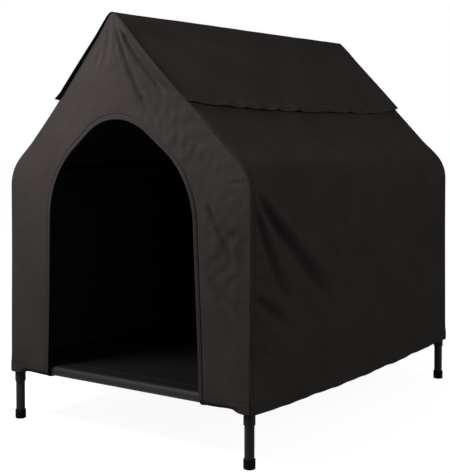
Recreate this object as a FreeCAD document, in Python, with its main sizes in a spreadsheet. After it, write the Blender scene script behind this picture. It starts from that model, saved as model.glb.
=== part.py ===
"""Covered raised dog bed: a push-fit tube frame, a sling bed and a sewn house-shaped cover.

Units are millimetres. The origin is on the floor under the middle of the bed. +Z is up, the
doorway faces -Y and +X is to the right of someone who looks in through the doorway.
"""
import FreeCAD, Part
import math
import os

import Sketcher
from FreeCAD import Placement, Rotation, Vector

# Driving dimensions: alias, value, what it sets.
DRIVING_SIZES = (
    ("frame_width", 595, "leg axis to leg axis across the doorway"),
    ("frame_length", 855, "leg axis to leg axis along the ridge"),
    ("bed_height", 117, "floor to the axis of the bed tubes"),
    ("eave_height", 531, "floor to where upright and rafter axes cross"),
    ("roof_pitch", 46, "slope of the roof in degrees"),
    ("rail_od", 19, "outer diameter of legs and bed tubes"),
    ("rail_wall", 1.2, "wall of legs and bed tubes"),
    ("pole_od", 16, "outer diameter of the house poles"),
    ("pole_wall", 1.0, "wall of the house poles"),
    ("socket_wall", 1.7, "wall of a moulded socket"),
    ("socket_depth", 33, "depth of a moulded socket"),
    ("socket_stop", 4, "solid web between two sockets"),
    ("push_fit", 0.05, "radial clearance of a tube in its socket"),
    ("end_gap", 0.3, "clearance at the end of a tube in its socket"),
    ("elbow_radius", 70, "bend of the eave elbow on its axis"),
    ("elbow_swell", 0.7, "how far the elbow's bend stands out round its sockets"),
    ("foot_height", 19, "height of a foot cap"),
    ("foot_floor", 4, "thickness under the leg in a foot cap"),
    ("foot_wall", 1.9, "wall of a foot cap"),
    ("foot_round", 2.5, "rounding of the foot cap on the floor"),
    ("foot_rim_round", 0.9, "rounding of the foot cap's upper rim"),
    ("cloth", 1.0, "thickness of cover and bed cloth"),
    ("cloth_gap", 0.25, "clearance between cover and corner connectors"),
    ("sleeve_gap", 0.2, "clearance of a bed sleeve on its tube"),
    ("seam_gap", 0.2, "clearance between two sewn panels"),
    ("sling_notch_gap", 3.5, "bed cloth short of the end of a connector's socket"),
    ("front_lean", 22, "how far the ridge nose pushes the front gable's peak outwards"),
    ("rear_lean", 1, "how far the ridge nose pushes the rear gable's peak outwards"),
    ("lean_drop", 180, "how far below the ridge axis the gables start to lean"),
    ("door_width", 378, "doorway between its jambs"),
    ("door_spring", 447, "floor to the top of the straight jambs"),
    ("door_shoulder", 175, "radius of the shoulders of the arch"),
    ("door_straight", 55, "straight run between a shoulder and the crown"),
    ("door_turn", 52, "degrees that a shoulder turns through"),
    ("binding_width", 9, "binding on each side of the cut edge"),
    ("binding_cloth", 0.8, "thickness of the binding"),
    ("hem_sag", 8, "how far the side hems hang lower at mid length"),
    ("flap_length", 231, "roof flap from its hinge line to its corners"),
    ("flap_sag", 20, "how much longer the flap is at mid length"),
    ("front_overhang", 1, "how far the second roof layer passes the front gable"),
    ("rear_overhang", 10, "how far the second roof layer passes the rear gable"),
    ("flap_gap", 0.3, "clearance of the ridge strip on the roof"),
    ("flap_lift", 1.2, "degrees by which a resting flap stands off the roof"),
    ("hinge_gap", 0.7, "clearance between ridge strip and flap"),
    ("vent_length", 520, "vent window along the ridge"),
    ("vent_width", 85, "vent window down the slope"),
    ("vent_drop", 70, "ridge axis to the upper edge of the vent window"),
    ("vent_margin", 12, "vent mesh sewn under the roof cloth all round"),
    ("mesh", 0.5, "thickness of the vent mesh"),
    ("tape_gap", 0.1, "clearance on each side of hem tape and vent mesh"),
    ("tape_width", 20, "height of the tapes at the side hems"),
    ("tape_inset", 3, "hem tapes short of the jamb and the sleeve ends"),
    ("fold_setback", 16, "leg axis to the edge of the folded patch"),
    ("fold_reach", 270, "length of the folded patch"),
    ("fold_margin", 5, "flat cloth left beside a fold"),
    ("long_fold_drop", 2, "eave bend to the upper edge of the long fold"),
    ("long_fold_start", 11, "edge of the patch to the start of the long fold"),
    ("long_fold_run", 240, "length of the long fold along the wall"),
    ("long_fold_fall", 200, "how far the long fold comes down"),
    ("long_fold_width", 52, "height of the long fold at its lower end"),
    ("long_fold_depth", 9, "depth of the long fold"),
    ("middle_fold_drop", 31, "eave bend to the upper edge of the middle fold"),
    ("middle_fold_start", 1, "edge of the patch to the start of the middle fold"),
    ("middle_fold_run", 93, "length of the middle fold along the wall"),
    ("middle_fold_fall", 142, "how far the middle fold comes down"),
    ("middle_fold_width", 28, "height of the middle fold at its lower end"),
    ("middle_fold_depth", 5, "depth of the middle fold"),
    ("low_fold_drop", 152, "eave bend to the upper edge of the low fold"),
    ("low_fold_start", 1, "edge of the patch to the start of the low fold"),
    ("low_fold_run", 66, "length of the low fold along the wall"),
    ("low_fold_fall", 77, "how far the low fold comes down"),
    ("low_fold_width", 28, "height of the low fold at its lower end"),
    ("low_fold_depth", 4.5, "depth of the low fold"),
)

UP = Vector(0, 0, 1)
ALONG_X = Vector(1, 0, 0)
ALONG_Y = Vector(0, 1, 0)
NO_TURN = Rotation()
HALF_TURN = Rotation(UP, 180)
# Sketch planes: front has u along X and v along Z, side has u along Y and v along Z.
FRONT_PLANE = Rotation(ALONG_X, 90)
SIDE_PLANE = Rotation(Vector(1, 1, 1), 120)
TOP_PLANE = NO_TURN
ARM_SEAM_TURN = 60
# A half cylinder along X whose round side is down.
ROUND_SIDE_DOWN = Rotation(-ALONG_Y, -UP, ALONG_X, "ZXY")

doc = FreeCAD.newDocument("CoveredRaisedDogBed")
sheet = doc.addObject("Spreadsheet::Sheet", "Sizes")
for row, (alias, value, note) in enumerate(DRIVING_SIZES, start=1):
    sheet.set(f"A{row}", note)
    sheet.set(f"B{row}", str(value))
    sheet.setAlias(f"B{row}", alias)
doc.recompute()

finished = {}

# Expressions worked out from the driving dimensions.
HALF_WIDTH = "(Sizes.frame_width / 2)"
HALF_LENGTH = "(Sizes.frame_length / 2)"
RAIL_RADIUS = "(Sizes.rail_od / 2)"
POLE_RADIUS = "(Sizes.pole_od / 2)"
RAIL_BORE = f"({RAIL_RADIUS} + Sizes.push_fit)"
POLE_BORE = f"({POLE_RADIUS} + Sizes.push_fit)"
RAIL_SOCKET = f"({RAIL_BORE} + Sizes.socket_wall)"
POLE_SOCKET = f"({POLE_BORE} + Sizes.socket_wall)"
HALF_STOP = "(Sizes.socket_stop / 2)"

BARREL = f"max({RAIL_SOCKET}; {POLE_SOCKET})"
CORE = f"({RAIL_BORE} + Sizes.socket_stop)"
CORNER_REACH = f"({CORE} + Sizes.socket_depth)"
CORNER_DROP = f"({HALF_STOP} + Sizes.socket_depth)"

EAVE_TURN = "(90 - Sizes.roof_pitch)"
HALF_EAVE_TURN = f"({EAVE_TURN} / 2)"
RIDGE_HEIGHT = f"(Sizes.eave_height + {HALF_WIDTH} * tan(Sizes.roof_pitch))"
RAFTER_RUN = f"({HALF_WIDTH} / cos(Sizes.roof_pitch))"
ELBOW_TANGENT = f"(Sizes.elbow_radius * tan({HALF_EAVE_TURN}))"
BEND_X = f"({HALF_WIDTH} - Sizes.elbow_radius)"
BEND_Z = f"(Sizes.eave_height - {ELBOW_TANGENT})"
EAVE_RAIL_X = f"({BEND_X} + Sizes.elbow_radius * cos({HALF_EAVE_TURN}))"
EAVE_RAIL_Z = f"({BEND_Z} + Sizes.elbow_radius * sin({HALF_EAVE_TURN}))"
POLE_CORE = f"({POLE_BORE} + Sizes.socket_stop)"
POLE_REACH = f"({POLE_CORE} + Sizes.socket_depth)"
RIDGE_CORE = f"(({POLE_BORE} * sin(Sizes.roof_pitch) + Sizes.socket_stop) / cos(Sizes.roof_pitch))"

COVER_INSIDE = f"({BARREL} + Sizes.cloth_gap)"
COVER_OUTSIDE = f"({COVER_INSIDE} + Sizes.cloth)"
PANEL_EDGE = f"({COVER_INSIDE} - Sizes.seam_gap)"
# Lean of a gable's peak, and overhang of the second roof layer, by the sign of Y at that end.
LEANS = {-1: "Sizes.front_lean", 1: "Sizes.rear_lean"}
OVERHANGS = {-1: "Sizes.front_overhang", 1: "Sizes.rear_overhang"}
LEAN_START = f"({RIDGE_HEIGHT} - Sizes.lean_drop)"
ABOVE_ROOF = f"({RIDGE_HEIGHT} + 3 * {COVER_OUTSIDE})"
HEM_HEIGHT = f"(Sizes.bed_height - {COVER_OUTSIDE})"
COVER_X = f"({HALF_WIDTH} + {COVER_OUTSIDE})"
COVER_Y = f"({HALF_LENGTH} + {COVER_OUTSIDE})"
WRAP_END = f"({HALF_WIDTH} - {COVER_INSIDE})"

SLEEVE_BORE = f"({RAIL_RADIUS} + Sizes.sleeve_gap)"
SLEEVE = f"({SLEEVE_BORE} + Sizes.cloth)"
SLING_NOTCH = f"({CORNER_REACH} + Sizes.sling_notch_gap)"
CROSS_SLEEVE = f"(Sizes.frame_width - 2 * {SLING_NOTCH})"
SIDE_SLEEVE = f"(Sizes.frame_length - 2 * {SLING_NOTCH})"
BED_TOP = f"(Sizes.bed_height + {SLEEVE})"

DOOR_HALF = "(Sizes.door_width / 2)"
DOOR_SHOULDER_X = f"({DOOR_HALF} - Sizes.door_shoulder)"
DOOR_CROWN = (f"(({DOOR_SHOULDER_X} - Sizes.door_straight * sin(Sizes.door_turn)) / cos(Sizes.door_turn)"
              f" + Sizes.door_shoulder)")
DOOR_CROWN_Z = (f"(Sizes.door_spring + (Sizes.door_shoulder - {DOOR_CROWN}) * sin(Sizes.door_turn)"
                f" + Sizes.door_straight * cos(Sizes.door_turn))")

FOLD_BOTTOM = f"({BED_TOP} + 2 * {COVER_OUTSIDE})"
FOLD_HEIGHT = f"({BEND_Z} - {FOLD_BOTTOM})"
FOLDS = ("long_fold", "middle_fold", "low_fold")
FOLD_SECTIONS = 16
# Share of its full width that a fold has where it starts.
FOLD_TAPER = 0.4

STRIP_INSIDE = f"({COVER_OUTSIDE} + Sizes.flap_gap)"
STRIP_OUTSIDE = f"({STRIP_INSIDE} + Sizes.cloth)"
STRIP_MIDDLE = f"({STRIP_INSIDE} + Sizes.cloth / 2)"
HINGE_OFFSET = "(Sizes.hinge_gap + Sizes.cloth / 2)"
HINGE_X = f"({STRIP_MIDDLE} * sin(Sizes.roof_pitch) + {HINGE_OFFSET} * cos(Sizes.roof_pitch))"
HINGE_Z = (f"({RIDGE_HEIGHT} + {STRIP_MIDDLE} * cos(Sizes.roof_pitch)"
           f" - {HINGE_OFFSET} * sin(Sizes.roof_pitch))")
FLAP_PITCH = "(Sizes.roof_pitch - Sizes.flap_lift)"


def number(expression):
    """Value of an expression on the sheet, as a plain number."""
    value = sheet.evalExpression(expression)
    return float(getattr(value, "Value", value))


def place(thing, at, turn=NO_TURN):
    """Turn a document object and bind its position to three expressions."""
    thing.Placement = Placement(Vector(), turn)
    for axis, expression in zip("xyz", at):
        thing.setExpression(f"Placement.Base.{axis}", expression)


def finish(thing, label):
    """Name a sub-part after the file that it is written to."""
    thing.Label = label
    finished[label] = thing


def cylinder(name, radius, length, at=("0", "0", "0"), along=UP):
    """Solid cylinder from a point, along a direction."""
    solid = doc.addObject("Part::Cylinder", name)
    solid.setExpression("Radius", radius)
    solid.setExpression("Height", length)
    place(solid, at, Rotation(UP, along))
    return solid


def box(name, sides, at, turn=NO_TURN):
    """Box with three sides, from its corner."""
    solid = doc.addObject("Part::Box", name)
    for side, expression in zip(("Length", "Width", "Height"), sides):
        solid.setExpression(side, expression)
    place(solid, at, turn)
    return solid


def fuse(name, solids):
    """Union of solids with its internal faces removed."""
    union = doc.addObject("Part::MultiFuse", name)
    union.Shapes = solids
    union.Refine = True
    return union


def cut(name, base, tools):
    """A solid less one or more tools."""
    difference = doc.addObject("Part::Cut", name)
    difference.Base = base
    difference.Tool = tools[0] if len(tools) == 1 else fuse(f"{name}Tools", tools)
    return difference


def common(name, first, second):
    """What two solids share."""
    shared = doc.addObject("Part::Common", name)
    shared.Base = first
    shared.Tool = second
    return shared


def origin_plane(body, role):
    """One of a body's own origin planes."""
    return next(plane for plane in body.Origin.OriginFeatures if plane.Role == role)


def hold_point(sketch, curve, end, corner):
    """Bind one end of a sketch curve to a pair of expressions."""
    for kind, axis, expression in (("DistanceX", -2, corner[0]), ("DistanceY", -1, corner[1])):
        value = number(expression)
        if abs(value) < 1e-9:
            sketch.addConstraint(Sketcher.Constraint("PointOnObject", curve, end, axis))
        elif value > 0:
            index = sketch.addConstraint(Sketcher.Constraint(kind, -1, 1, curve, end, value))
            sketch.setExpression(f"Constraints[{index}]", expression)
        else:
            index = sketch.addConstraint(Sketcher.Constraint(kind, curve, end, -1, 1, -value))
            sketch.setExpression(f"Constraints[{index}]", f"-{expression}")


def draw_outline(sketch, corners):
    """Closed outline of lines and arcs, held by its corners and its radii.

    Each corner is (u, v) where a line follows it, or (u, v, centre_u, centre_v, radius) where
    an arc does. All are expressions.
    """
    points = [Vector(number(corner[0]), number(corner[1]), 0) for corner in corners]
    starts, ends = [], []
    for index, corner in enumerate(corners):
        here, there = points[index], points[(index + 1) % len(points)]
        if len(corner) == 2:
            curve = sketch.addGeometry(Part.LineSegment(here, there), False)
            start, end = 1, 2
        else:
            centre = Vector(number(corner[2]), number(corner[3]), 0)
            counterclockwise = (here - centre).cross(there - centre).z > 0
            first, last = (here, there) if counterclockwise else (there, here)
            angles = [math.atan2(point.y - centre.y, point.x - centre.x) for point in (first, last)]
            if angles[1] < angles[0]:
                angles[1] += 2 * math.pi
            circle = Part.Circle(centre, UP, number(corner[4]))
            curve = sketch.addGeometry(Part.ArcOfCircle(circle, *angles), False)
            start, end = (1, 2) if counterclockwise else (2, 1)
        starts.append((curve, start))
        ends.append((curve, end))
    for index, corner in enumerate(corners):
        following = starts[(index + 1) % len(corners)]
        sketch.addConstraint(Sketcher.Constraint("Coincident", *ends[index], *following))
        hold_point(sketch, *starts[index], corner)
        if len(corner) > 2:
            radius = Sketcher.Constraint("Radius", starts[index][0], number(corner[4]))
            sketch.setExpression(f"Constraints[{sketch.addConstraint(radius)}]", corner[4])


def prism(name, plane, corners, depth):
    """Outline pushed out by half the depth on each side of its plane."""
    sketch = doc.addObject("Sketcher::SketchObject", f"{name}Outline")
    sketch.Placement = Placement(Vector(), plane)
    draw_outline(sketch, corners)
    solid = doc.addObject("Part::Extrusion", name)
    solid.Base = sketch
    solid.DirMode = "Custom"
    solid.Dir = plane.multVec(UP)
    solid.Symmetric = True
    solid.Solid = True
    solid.setExpression("LengthFwd", depth)
    return solid


def mirrored(corners):
    """Right half of an outline, from bottom to top, followed by its mirror image."""
    left = []
    for index in range(len(corners) - 1, -1, -1):
        u, v = corners[index][:2]
        before = corners[index - 1] if index else ()
        arc = (f"(-{before[2]})", before[3], before[4]) if len(before) > 2 else ()
        left.append((f"(-{u})", v, *arc))
    if abs(number(corners[-1][0])) < 1e-9:
        right = list(corners[:-1])
    else:
        right = list(corners)
    return right + left


def make_tube(label, outer, wall, length, at, along):
    """Straight tube: a ring sketch and a pad."""
    body = doc.addObject("PartDesign::Body", label)
    ring = body.newObject("Sketcher::SketchObject", f"{label}_ring")
    ring.AttachmentSupport = [(origin_plane(body, "XY_Plane"), "")]
    ring.MapMode = "FlatFace"
    for radius in (f"{outer} / 2", f"{outer} / 2 - {wall}"):
        curve = ring.addGeometry(Part.Circle(Vector(), UP, number(radius)), False)
        ring.addConstraint(Sketcher.Constraint("Coincident", curve, 3, -1, 1))
        index = ring.addConstraint(Sketcher.Constraint("Radius", curve, number(radius)))
        ring.setExpression(f"Constraints[{index}]", radius)
    pad = body.newObject("PartDesign::Pad", f"{label}_pad")
    pad.Profile = ring
    pad.setExpression("Length", length)
    place(body, at, Rotation(UP, along))
    finish(body, label)


def widest_edge(shape, height):
    """Name of the longest edge that lies flat at a height."""
    flat = [
        (edge.Length, index) for index, edge in enumerate(shape.Edges, start=1)
        if abs(edge.BoundBox.ZMin - height) < 1e-6 and abs(edge.BoundBox.ZMax - height) < 1e-6
    ]
    return f"Edge{max(flat)[1]}"


def make_foot_cap(label, at):
    """Moulded cup on the end of a leg, turned from its half section."""
    body = doc.addObject("PartDesign::Body", label)
    section = body.newObject("Sketcher::SketchObject", f"{label}_section")
    section.AttachmentSupport = [(origin_plane(body, "XZ_Plane"), "")]
    section.MapMode = "FlatFace"
    outside = f"({RAIL_BORE} + Sizes.foot_wall)"
    draw_outline(section, (
        ("0", "0"),
        (outside, "0"),
        (outside, "Sizes.foot_height"),
        (RAIL_BORE, "Sizes.foot_height"),
        (RAIL_BORE, "Sizes.foot_floor"),
        ("0", "Sizes.foot_floor"),
    ))
    turned = body.newObject("PartDesign::Revolution", f"{label}_turned")
    turned.Profile = section
    turned.ReferenceAxis = (section, ["V_Axis"])
    turned.Angle = 360
    doc.recompute()
    sole = body.newObject("PartDesign::Fillet", f"{label}_sole")
    sole.Base = (turned, [widest_edge(turned.Shape, 0)])
    sole.setExpression("Radius", "Sizes.foot_round")
    doc.recompute()
    rim = body.newObject("PartDesign::Fillet", f"{label}_rim")
    rim.Base = (sole, [widest_edge(sole.Shape, number("Sizes.foot_height"))])
    rim.setExpression("Radius", "Sizes.foot_rim_round")
    place(body, at)
    finish(body, label)


def make_corner_connector(label, at, quarter_turns):
    """Four sockets that meet: a leg below, an upright above and two bed tubes."""
    barrel_base = ("0", "0", f"-{CORNER_DROP}")
    outside = fuse(f"{label}_outside", [
        cylinder(f"{label}_barrel", BARREL, f"2 * {CORNER_DROP}", barrel_base),
        cylinder(f"{label}_cross", RAIL_SOCKET, CORNER_REACH, along=ALONG_X),
        cylinder(f"{label}_side", RAIL_SOCKET, CORNER_REACH, along=ALONG_Y),
    ])
    bores = [
        cylinder(f"{label}_leg_bore", RAIL_BORE, "Sizes.socket_depth", barrel_base),
        cylinder(f"{label}_upright_bore", POLE_BORE, "Sizes.socket_depth", ("0", "0", HALF_STOP)),
        cylinder(f"{label}_cross_bore", RAIL_BORE, "Sizes.socket_depth", (CORE, "0", "0"), ALONG_X),
        cylinder(f"{label}_side_bore", RAIL_BORE, "Sizes.socket_depth", ("0", CORE, "0"), ALONG_Y),
    ]
    connector = cut(label, outside, bores)
    place(connector, at, Rotation(UP, 90 * quarter_turns))
    finish(connector, label)


def make_eave_elbow(label, at, turn, inward):
    """Three-way elbow between an upright, a rafter and an eave rail, bent in the XZ plane."""
    pitch = math.radians(number("Sizes.roof_pitch"))
    up_slope = Vector(-math.cos(pitch), 0, math.sin(pitch))
    along_rail = ALONG_Y * inward
    bend = doc.addObject("Part::Torus", f"{label}_bend")
    bend.setExpression("Radius1", "Sizes.elbow_radius")
    bend.setExpression("Radius2", f"{POLE_SOCKET} + Sizes.elbow_swell")
    bend.setExpression("Angle3", EAVE_TURN)
    place(bend, ("-Sizes.elbow_radius", "0", f"-{ELBOW_TANGENT}"), FRONT_PLANE)
    foot = ("0", "0", f"-{ELBOW_TANGENT} - Sizes.socket_depth")
    head = (f"-{ELBOW_TANGENT} * cos(Sizes.roof_pitch)", "0", f"{ELBOW_TANGENT} * sin(Sizes.roof_pitch)")
    rail_x = f"{EAVE_RAIL_X} - {HALF_WIDTH}"
    rail_z = f"{EAVE_RAIL_Z} - Sizes.eave_height"
    rail_y = f"{inward} * {POLE_CORE}"
    arm = cylinder(f"{label}_arm", POLE_SOCKET, POLE_REACH, (rail_x, "0", rail_z), along_rail)
    # The arm's seam line is turned to the side where it meets no other seam.
    arm.Placement = Placement(Vector(), Rotation(along_rail, ARM_SEAM_TURN).multiply(arm.Placement.Rotation))
    outside = fuse(f"{label}_outside", [
        bend,
        cylinder(f"{label}_foot", POLE_SOCKET, "Sizes.socket_depth", foot),
        cylinder(f"{label}_head", POLE_SOCKET, "Sizes.socket_depth", head, up_slope),
        arm,
    ])
    bores = [
        cylinder(f"{label}_foot_bore", POLE_BORE, "Sizes.socket_depth", foot),
        cylinder(f"{label}_head_bore", POLE_BORE, "Sizes.socket_depth", head, up_slope),
        cylinder(f"{label}_arm_bore", POLE_BORE, "Sizes.socket_depth", (rail_x, rail_y, rail_z), along_rail),
    ]
    elbow = cut(label, outside, bores)
    place(elbow, at, turn)
    finish(elbow, label)


def make_ridge_connector(label, at, turn, lean):
    """Three sockets at a gable's peak, and the nose that pushes the gable cloth outwards."""
    pitch = math.radians(number("Sizes.roof_pitch"))
    socket_reach = f"{RIDGE_CORE} + Sizes.socket_depth"
    outside = [cylinder(f"{label}_arm", POLE_SOCKET, POLE_REACH, along=ALONG_Y)]
    bores = [cylinder(f"{label}_arm_bore", POLE_BORE, "Sizes.socket_depth", ("0", POLE_CORE, "0"), ALONG_Y)]
    for side, sign in (("left", -1), ("right", 1)):
        down_slope = Vector(sign * math.cos(pitch), 0, -math.sin(pitch))
        mouth = (
            f"{sign} * {RIDGE_CORE} * cos(Sizes.roof_pitch)",
            "0",
            f"-{RIDGE_CORE} * sin(Sizes.roof_pitch)",
        )
        outside.append(cylinder(f"{label}_{side}", POLE_SOCKET, socket_reach, along=down_slope))
        bores.append(cylinder(f"{label}_{side}_bore", POLE_BORE, "Sizes.socket_depth", mouth, down_slope))
    # The lowest point of the nose's rim comes nearest to the leaning gable.
    nose = f"{COVER_INSIDE} + {lean} - {lean} / Sizes.lean_drop * {POLE_SOCKET} - Sizes.cloth_gap"
    outside.append(cylinder(f"{label}_nose", POLE_SOCKET, nose, along=-ALONG_Y))
    connector = cut(label, fuse(f"{label}_outside", outside), bores)
    place(connector, at, turn)
    finish(connector, label)


def make_bed_sling():
    """Bed cloth with a sleeve round each of the four bed tubes."""
    sheets = [
        box("sling_lengthwise", (CROSS_SLEEVE, "Sizes.frame_length", "Sizes.cloth"),
            (f"-{CROSS_SLEEVE} / 2", f"-{HALF_LENGTH}", f"{BED_TOP} - Sizes.cloth")),
        box("sling_crosswise", ("Sizes.frame_width", SIDE_SLEEVE, "Sizes.cloth"),
            (f"-{HALF_WIDTH}", f"-{SIDE_SLEEVE} / 2", f"{BED_TOP} - Sizes.cloth")),
    ]
    bores = []
    for side, sign in (("first", -1), ("second", 1)):
        cross_at = (f"-{CROSS_SLEEVE} / 2", f"{sign} * {HALF_LENGTH}", "Sizes.bed_height")
        side_at = (f"{sign} * {HALF_WIDTH}", f"-{SIDE_SLEEVE} / 2", "Sizes.bed_height")
        runs = (
            ("cross", CROSS_SLEEVE, cross_at, ALONG_X),
            ("side", SIDE_SLEEVE, side_at, ALONG_Y),
        )
        for run, length, at, along in runs:
            sheets.append(cylinder(f"sling_{side}_{run}_sleeve", SLEEVE, length, at, along))
            bores.append(cylinder(f"sling_{side}_{run}_bore", SLEEVE_BORE, length, at, along))
    finish(cut("bed_sling", fuse("sling_cloth", sheets), bores), "bed_sling")


def house_half(offset, bottom):
    """Right half of the house outline at an offset outside the pole axes, from the hem up."""
    return (
        (f"({HALF_WIDTH} + {offset})", bottom),
        (f"({HALF_WIDTH} + {offset})", BEND_Z, BEND_X, BEND_Z, f"(Sizes.elbow_radius + {offset})"),
        (f"({BEND_X} + (Sizes.elbow_radius + {offset}) * cos({EAVE_TURN}))",
         f"({BEND_Z} + (Sizes.elbow_radius + {offset}) * sin({EAVE_TURN}))"),
        (f"({offset} * cos({EAVE_TURN}))", f"({RIDGE_HEIGHT} + {offset} * sin({EAVE_TURN}))",
         "0", RIDGE_HEIGHT, offset),
        ("0", f"({RIDGE_HEIGHT} + {offset})"),
    )


def door_half(offset, bottom):
    """Right half of the doorway outline at an offset outside its cut edge, from the bottom up."""
    shoulder = f"(Sizes.door_shoulder + {offset})"
    crown = f"({DOOR_CROWN} + {offset})"
    return (
        (f"({DOOR_HALF} + {offset})", bottom),
        (f"({DOOR_HALF} + {offset})", "Sizes.door_spring", DOOR_SHOULDER_X, "Sizes.door_spring", shoulder),
        (f"({DOOR_SHOULDER_X} + {shoulder} * cos(Sizes.door_turn))",
         f"(Sizes.door_spring + {shoulder} * sin(Sizes.door_turn))"),
        (f"({crown} * cos(Sizes.door_turn))", f"({DOOR_CROWN_Z} + {crown} * sin(Sizes.door_turn))",
         "0", DOOR_CROWN_Z, crown),
        ("0", f"({DOOR_CROWN_Z} + {crown})"),
    )


def lean_at(end, height):
    """How far a gable has leaned outwards at a height in its leaning part."""
    return f"({LEANS[end]} / Sizes.lean_drop * ({height} - {LEAN_START}))"


def gable_slab(name, end, outer, inner, bottom):
    """Sheet along X that is upright at first and leans outwards below the peak.

    outer and inner are its faces' distances from the leg axes; end is -1 in front, 1 behind.
    """
    corners = []
    for offset, upward in ((outer, True), (inner, False)):
        face = f"({end} * ({HALF_LENGTH} + {offset}))"
        leaning = f"({end} * ({HALF_LENGTH} + {offset} + {lean_at(end, ABOVE_ROOF)}))"
        chain = [(face, bottom), (face, LEAN_START), (leaning, ABOVE_ROOF)]
        corners += chain if upward else chain[::-1]
    return prism(name, SIDE_PLANE, corners, f"4 * {COVER_X}")


def half_ring(name, outer, inner, length, at):
    """Lower half of a tube along X."""
    ring = []
    for part, radius in (("outside", outer), ("inside", inner)):
        half = doc.addObject("Part::Cylinder", f"{name}_{part}")
        half.Angle = 180
        half.setExpression("Radius", radius)
        half.setExpression("Height", length)
        place(half, at, ROUND_SIDE_DOWN)
        ring.append(half)
    return cut(name, ring[0], ring[1:])


def make_gable_panel(label, end, with_door):
    """Front or rear panel of the cover, with its hem wrapped under the cross tube."""
    depth = f"4 * {COVER_Y}"
    slab = gable_slab(f"{label}_slab", end, COVER_OUTSIDE, COVER_INSIDE, HEM_HEIGHT)
    house = prism(f"{label}_house", FRONT_PLANE, mirrored(house_half(PANEL_EDGE, HEM_HEIGHT)), depth)
    wrap_zone = box(f"{label}_wrap_zone", (f"2 * {WRAP_END}", depth, "Sizes.bed_height"),
                    (f"-{WRAP_END}", f"-({depth}) / 2", "0"))
    openings = [wrap_zone]
    wrap_runs = [("whole", f"-{WRAP_END}", f"2 * {WRAP_END}")]
    if with_door:
        openings.append(prism(f"{label}_door", FRONT_PLANE, mirrored(door_half("0", "0")), depth))
        run = f"({WRAP_END} - {DOOR_HALF})"
        wrap_runs = [("left", f"-{WRAP_END}", run), ("right", DOOR_HALF, run)]
    sheet_part = cut(f"{label}_sheet", common(f"{label}_blank", house, slab), openings)
    axis_y = f"{end} * {HALF_LENGTH}"
    wraps = [
        half_ring(f"{label}_{side}_wrap", COVER_OUTSIDE, COVER_INSIDE, run,
                  (start, axis_y, "Sizes.bed_height"))
        for side, start, run in wrap_runs
    ]
    finish(fuse(label, [sheet_part, *wraps]), label)


def make_door_binding():
    """Tape folded over the cut edge of the doorway, a channel that the panel's edge sits in."""
    depth = f"4 * {COVER_Y}"
    start = f"({BED_TOP} + Sizes.cloth_gap)"
    slack = "Sizes.seam_gap"
    skin = f"(Sizes.binding_cloth + {slack})"
    tape = gable_slab("binding_slab", -1, f"({COVER_OUTSIDE} + {skin})", f"({COVER_INSIDE} - {skin})", start)
    panel_room = gable_slab("binding_room_slab", -1, f"({COVER_OUTSIDE} + {slack})",
                            f"({COVER_INSIDE} - {slack})", start)
    outline = prism("binding_outline", FRONT_PLANE, mirrored(door_half("Sizes.binding_width", start)), depth)
    doorway = prism("binding_doorway", FRONT_PLANE, mirrored(door_half(f"(-{skin})", "0")), depth)
    lip = prism("binding_lip", FRONT_PLANE, mirrored(door_half(f"(-{slack})", "0")), depth)
    room = cut("binding_room", panel_room, [lip])
    blank = common("binding_blank", tape, outline)
    finish(cut("door_binding", blank, [doorway, room]), "door_binding")


def make_gable_block(name, facing):
    """Everything between the outer faces of the front and rear panels.

    facing is -1 where the front is drawn towards -Y, and 1 where it is drawn towards +Y.
    """
    front, back = f"(-{COVER_Y})", COVER_Y
    corners = (
        (front, "0"),
        (back, "0"),
        (back, LEAN_START),
        (f"({COVER_Y} + {lean_at(-facing, ABOVE_ROOF)})", ABOVE_ROOF),
        (f"(-({COVER_Y} + {lean_at(facing, ABOVE_ROOF)}))", ABOVE_ROOF),
        (front, LEAN_START),
    )
    return prism(name, SIDE_PLANE, corners, f"4 * {COVER_X}")


def eave_seam(offset, seam):
    """Point on the eave bend where the wall and the roof panel are sewn together."""
    reach = f"(Sizes.elbow_radius + {offset})"
    return f"({BEND_X} + {reach} * cos({seam}))", f"({BEND_Z} + {reach} * sin({seam}))"


def make_wall_panel(label, turn, folded):
    """Side wall from the hem to the eave seam; its hem sags between the corners."""
    seam = f"({HALF_EAVE_TURN} - Sizes.seam_gap / Sizes.elbow_radius * 180 / pi)"
    outer, inner = COVER_X, f"({HALF_WIDTH} + {COVER_INSIDE})"
    lowest = f"({HEM_HEIGHT} - Sizes.hem_sag)"
    section = prism(f"{label}_section", FRONT_PLANE, (
        (outer, lowest),
        (outer, BEND_Z, BEND_X, BEND_Z, f"(Sizes.elbow_radius + {COVER_OUTSIDE})"),
        eave_seam(COVER_OUTSIDE, seam),
        (*eave_seam(COVER_INSIDE, seam), BEND_X, BEND_Z, f"(Sizes.elbow_radius + {COVER_INSIDE})"),
        (inner, BEND_Z),
        (inner, lowest),
    ), f"2 * {COVER_Y}")
    sag_radius = f"(({COVER_Y} * {COVER_Y} + Sizes.hem_sag * Sizes.hem_sag) / (2 * Sizes.hem_sag))"
    outline = prism(f"{label}_outline", SIDE_PLANE, (
        (f"(-{COVER_Y})", HEM_HEIGHT, "0", f"({lowest} + {sag_radius})", sag_radius),
        (COVER_Y, HEM_HEIGHT),
        (COVER_Y, ABOVE_ROOF),
        (f"(-{COVER_Y})", ABOVE_ROOF),
    ), f"4 * {COVER_X}")
    panel = common(label, section, outline)
    if folded:
        patch = fold_patch(f"{label}_folds")
        room = box(f"{label}_fold_room", ("4 * Sizes.cloth", "Sizes.fold_reach", FOLD_HEIGHT),
                   (f"{outer} - 2 * Sizes.cloth", f"-{HALF_LENGTH} + Sizes.fold_setback", FOLD_BOTTOM))
        panel = fuse(label, [cut(f"{label}_flat", panel, [room]), patch])
    place(panel, ("0", "0", "0"), turn)
    finish(panel, label)


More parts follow.
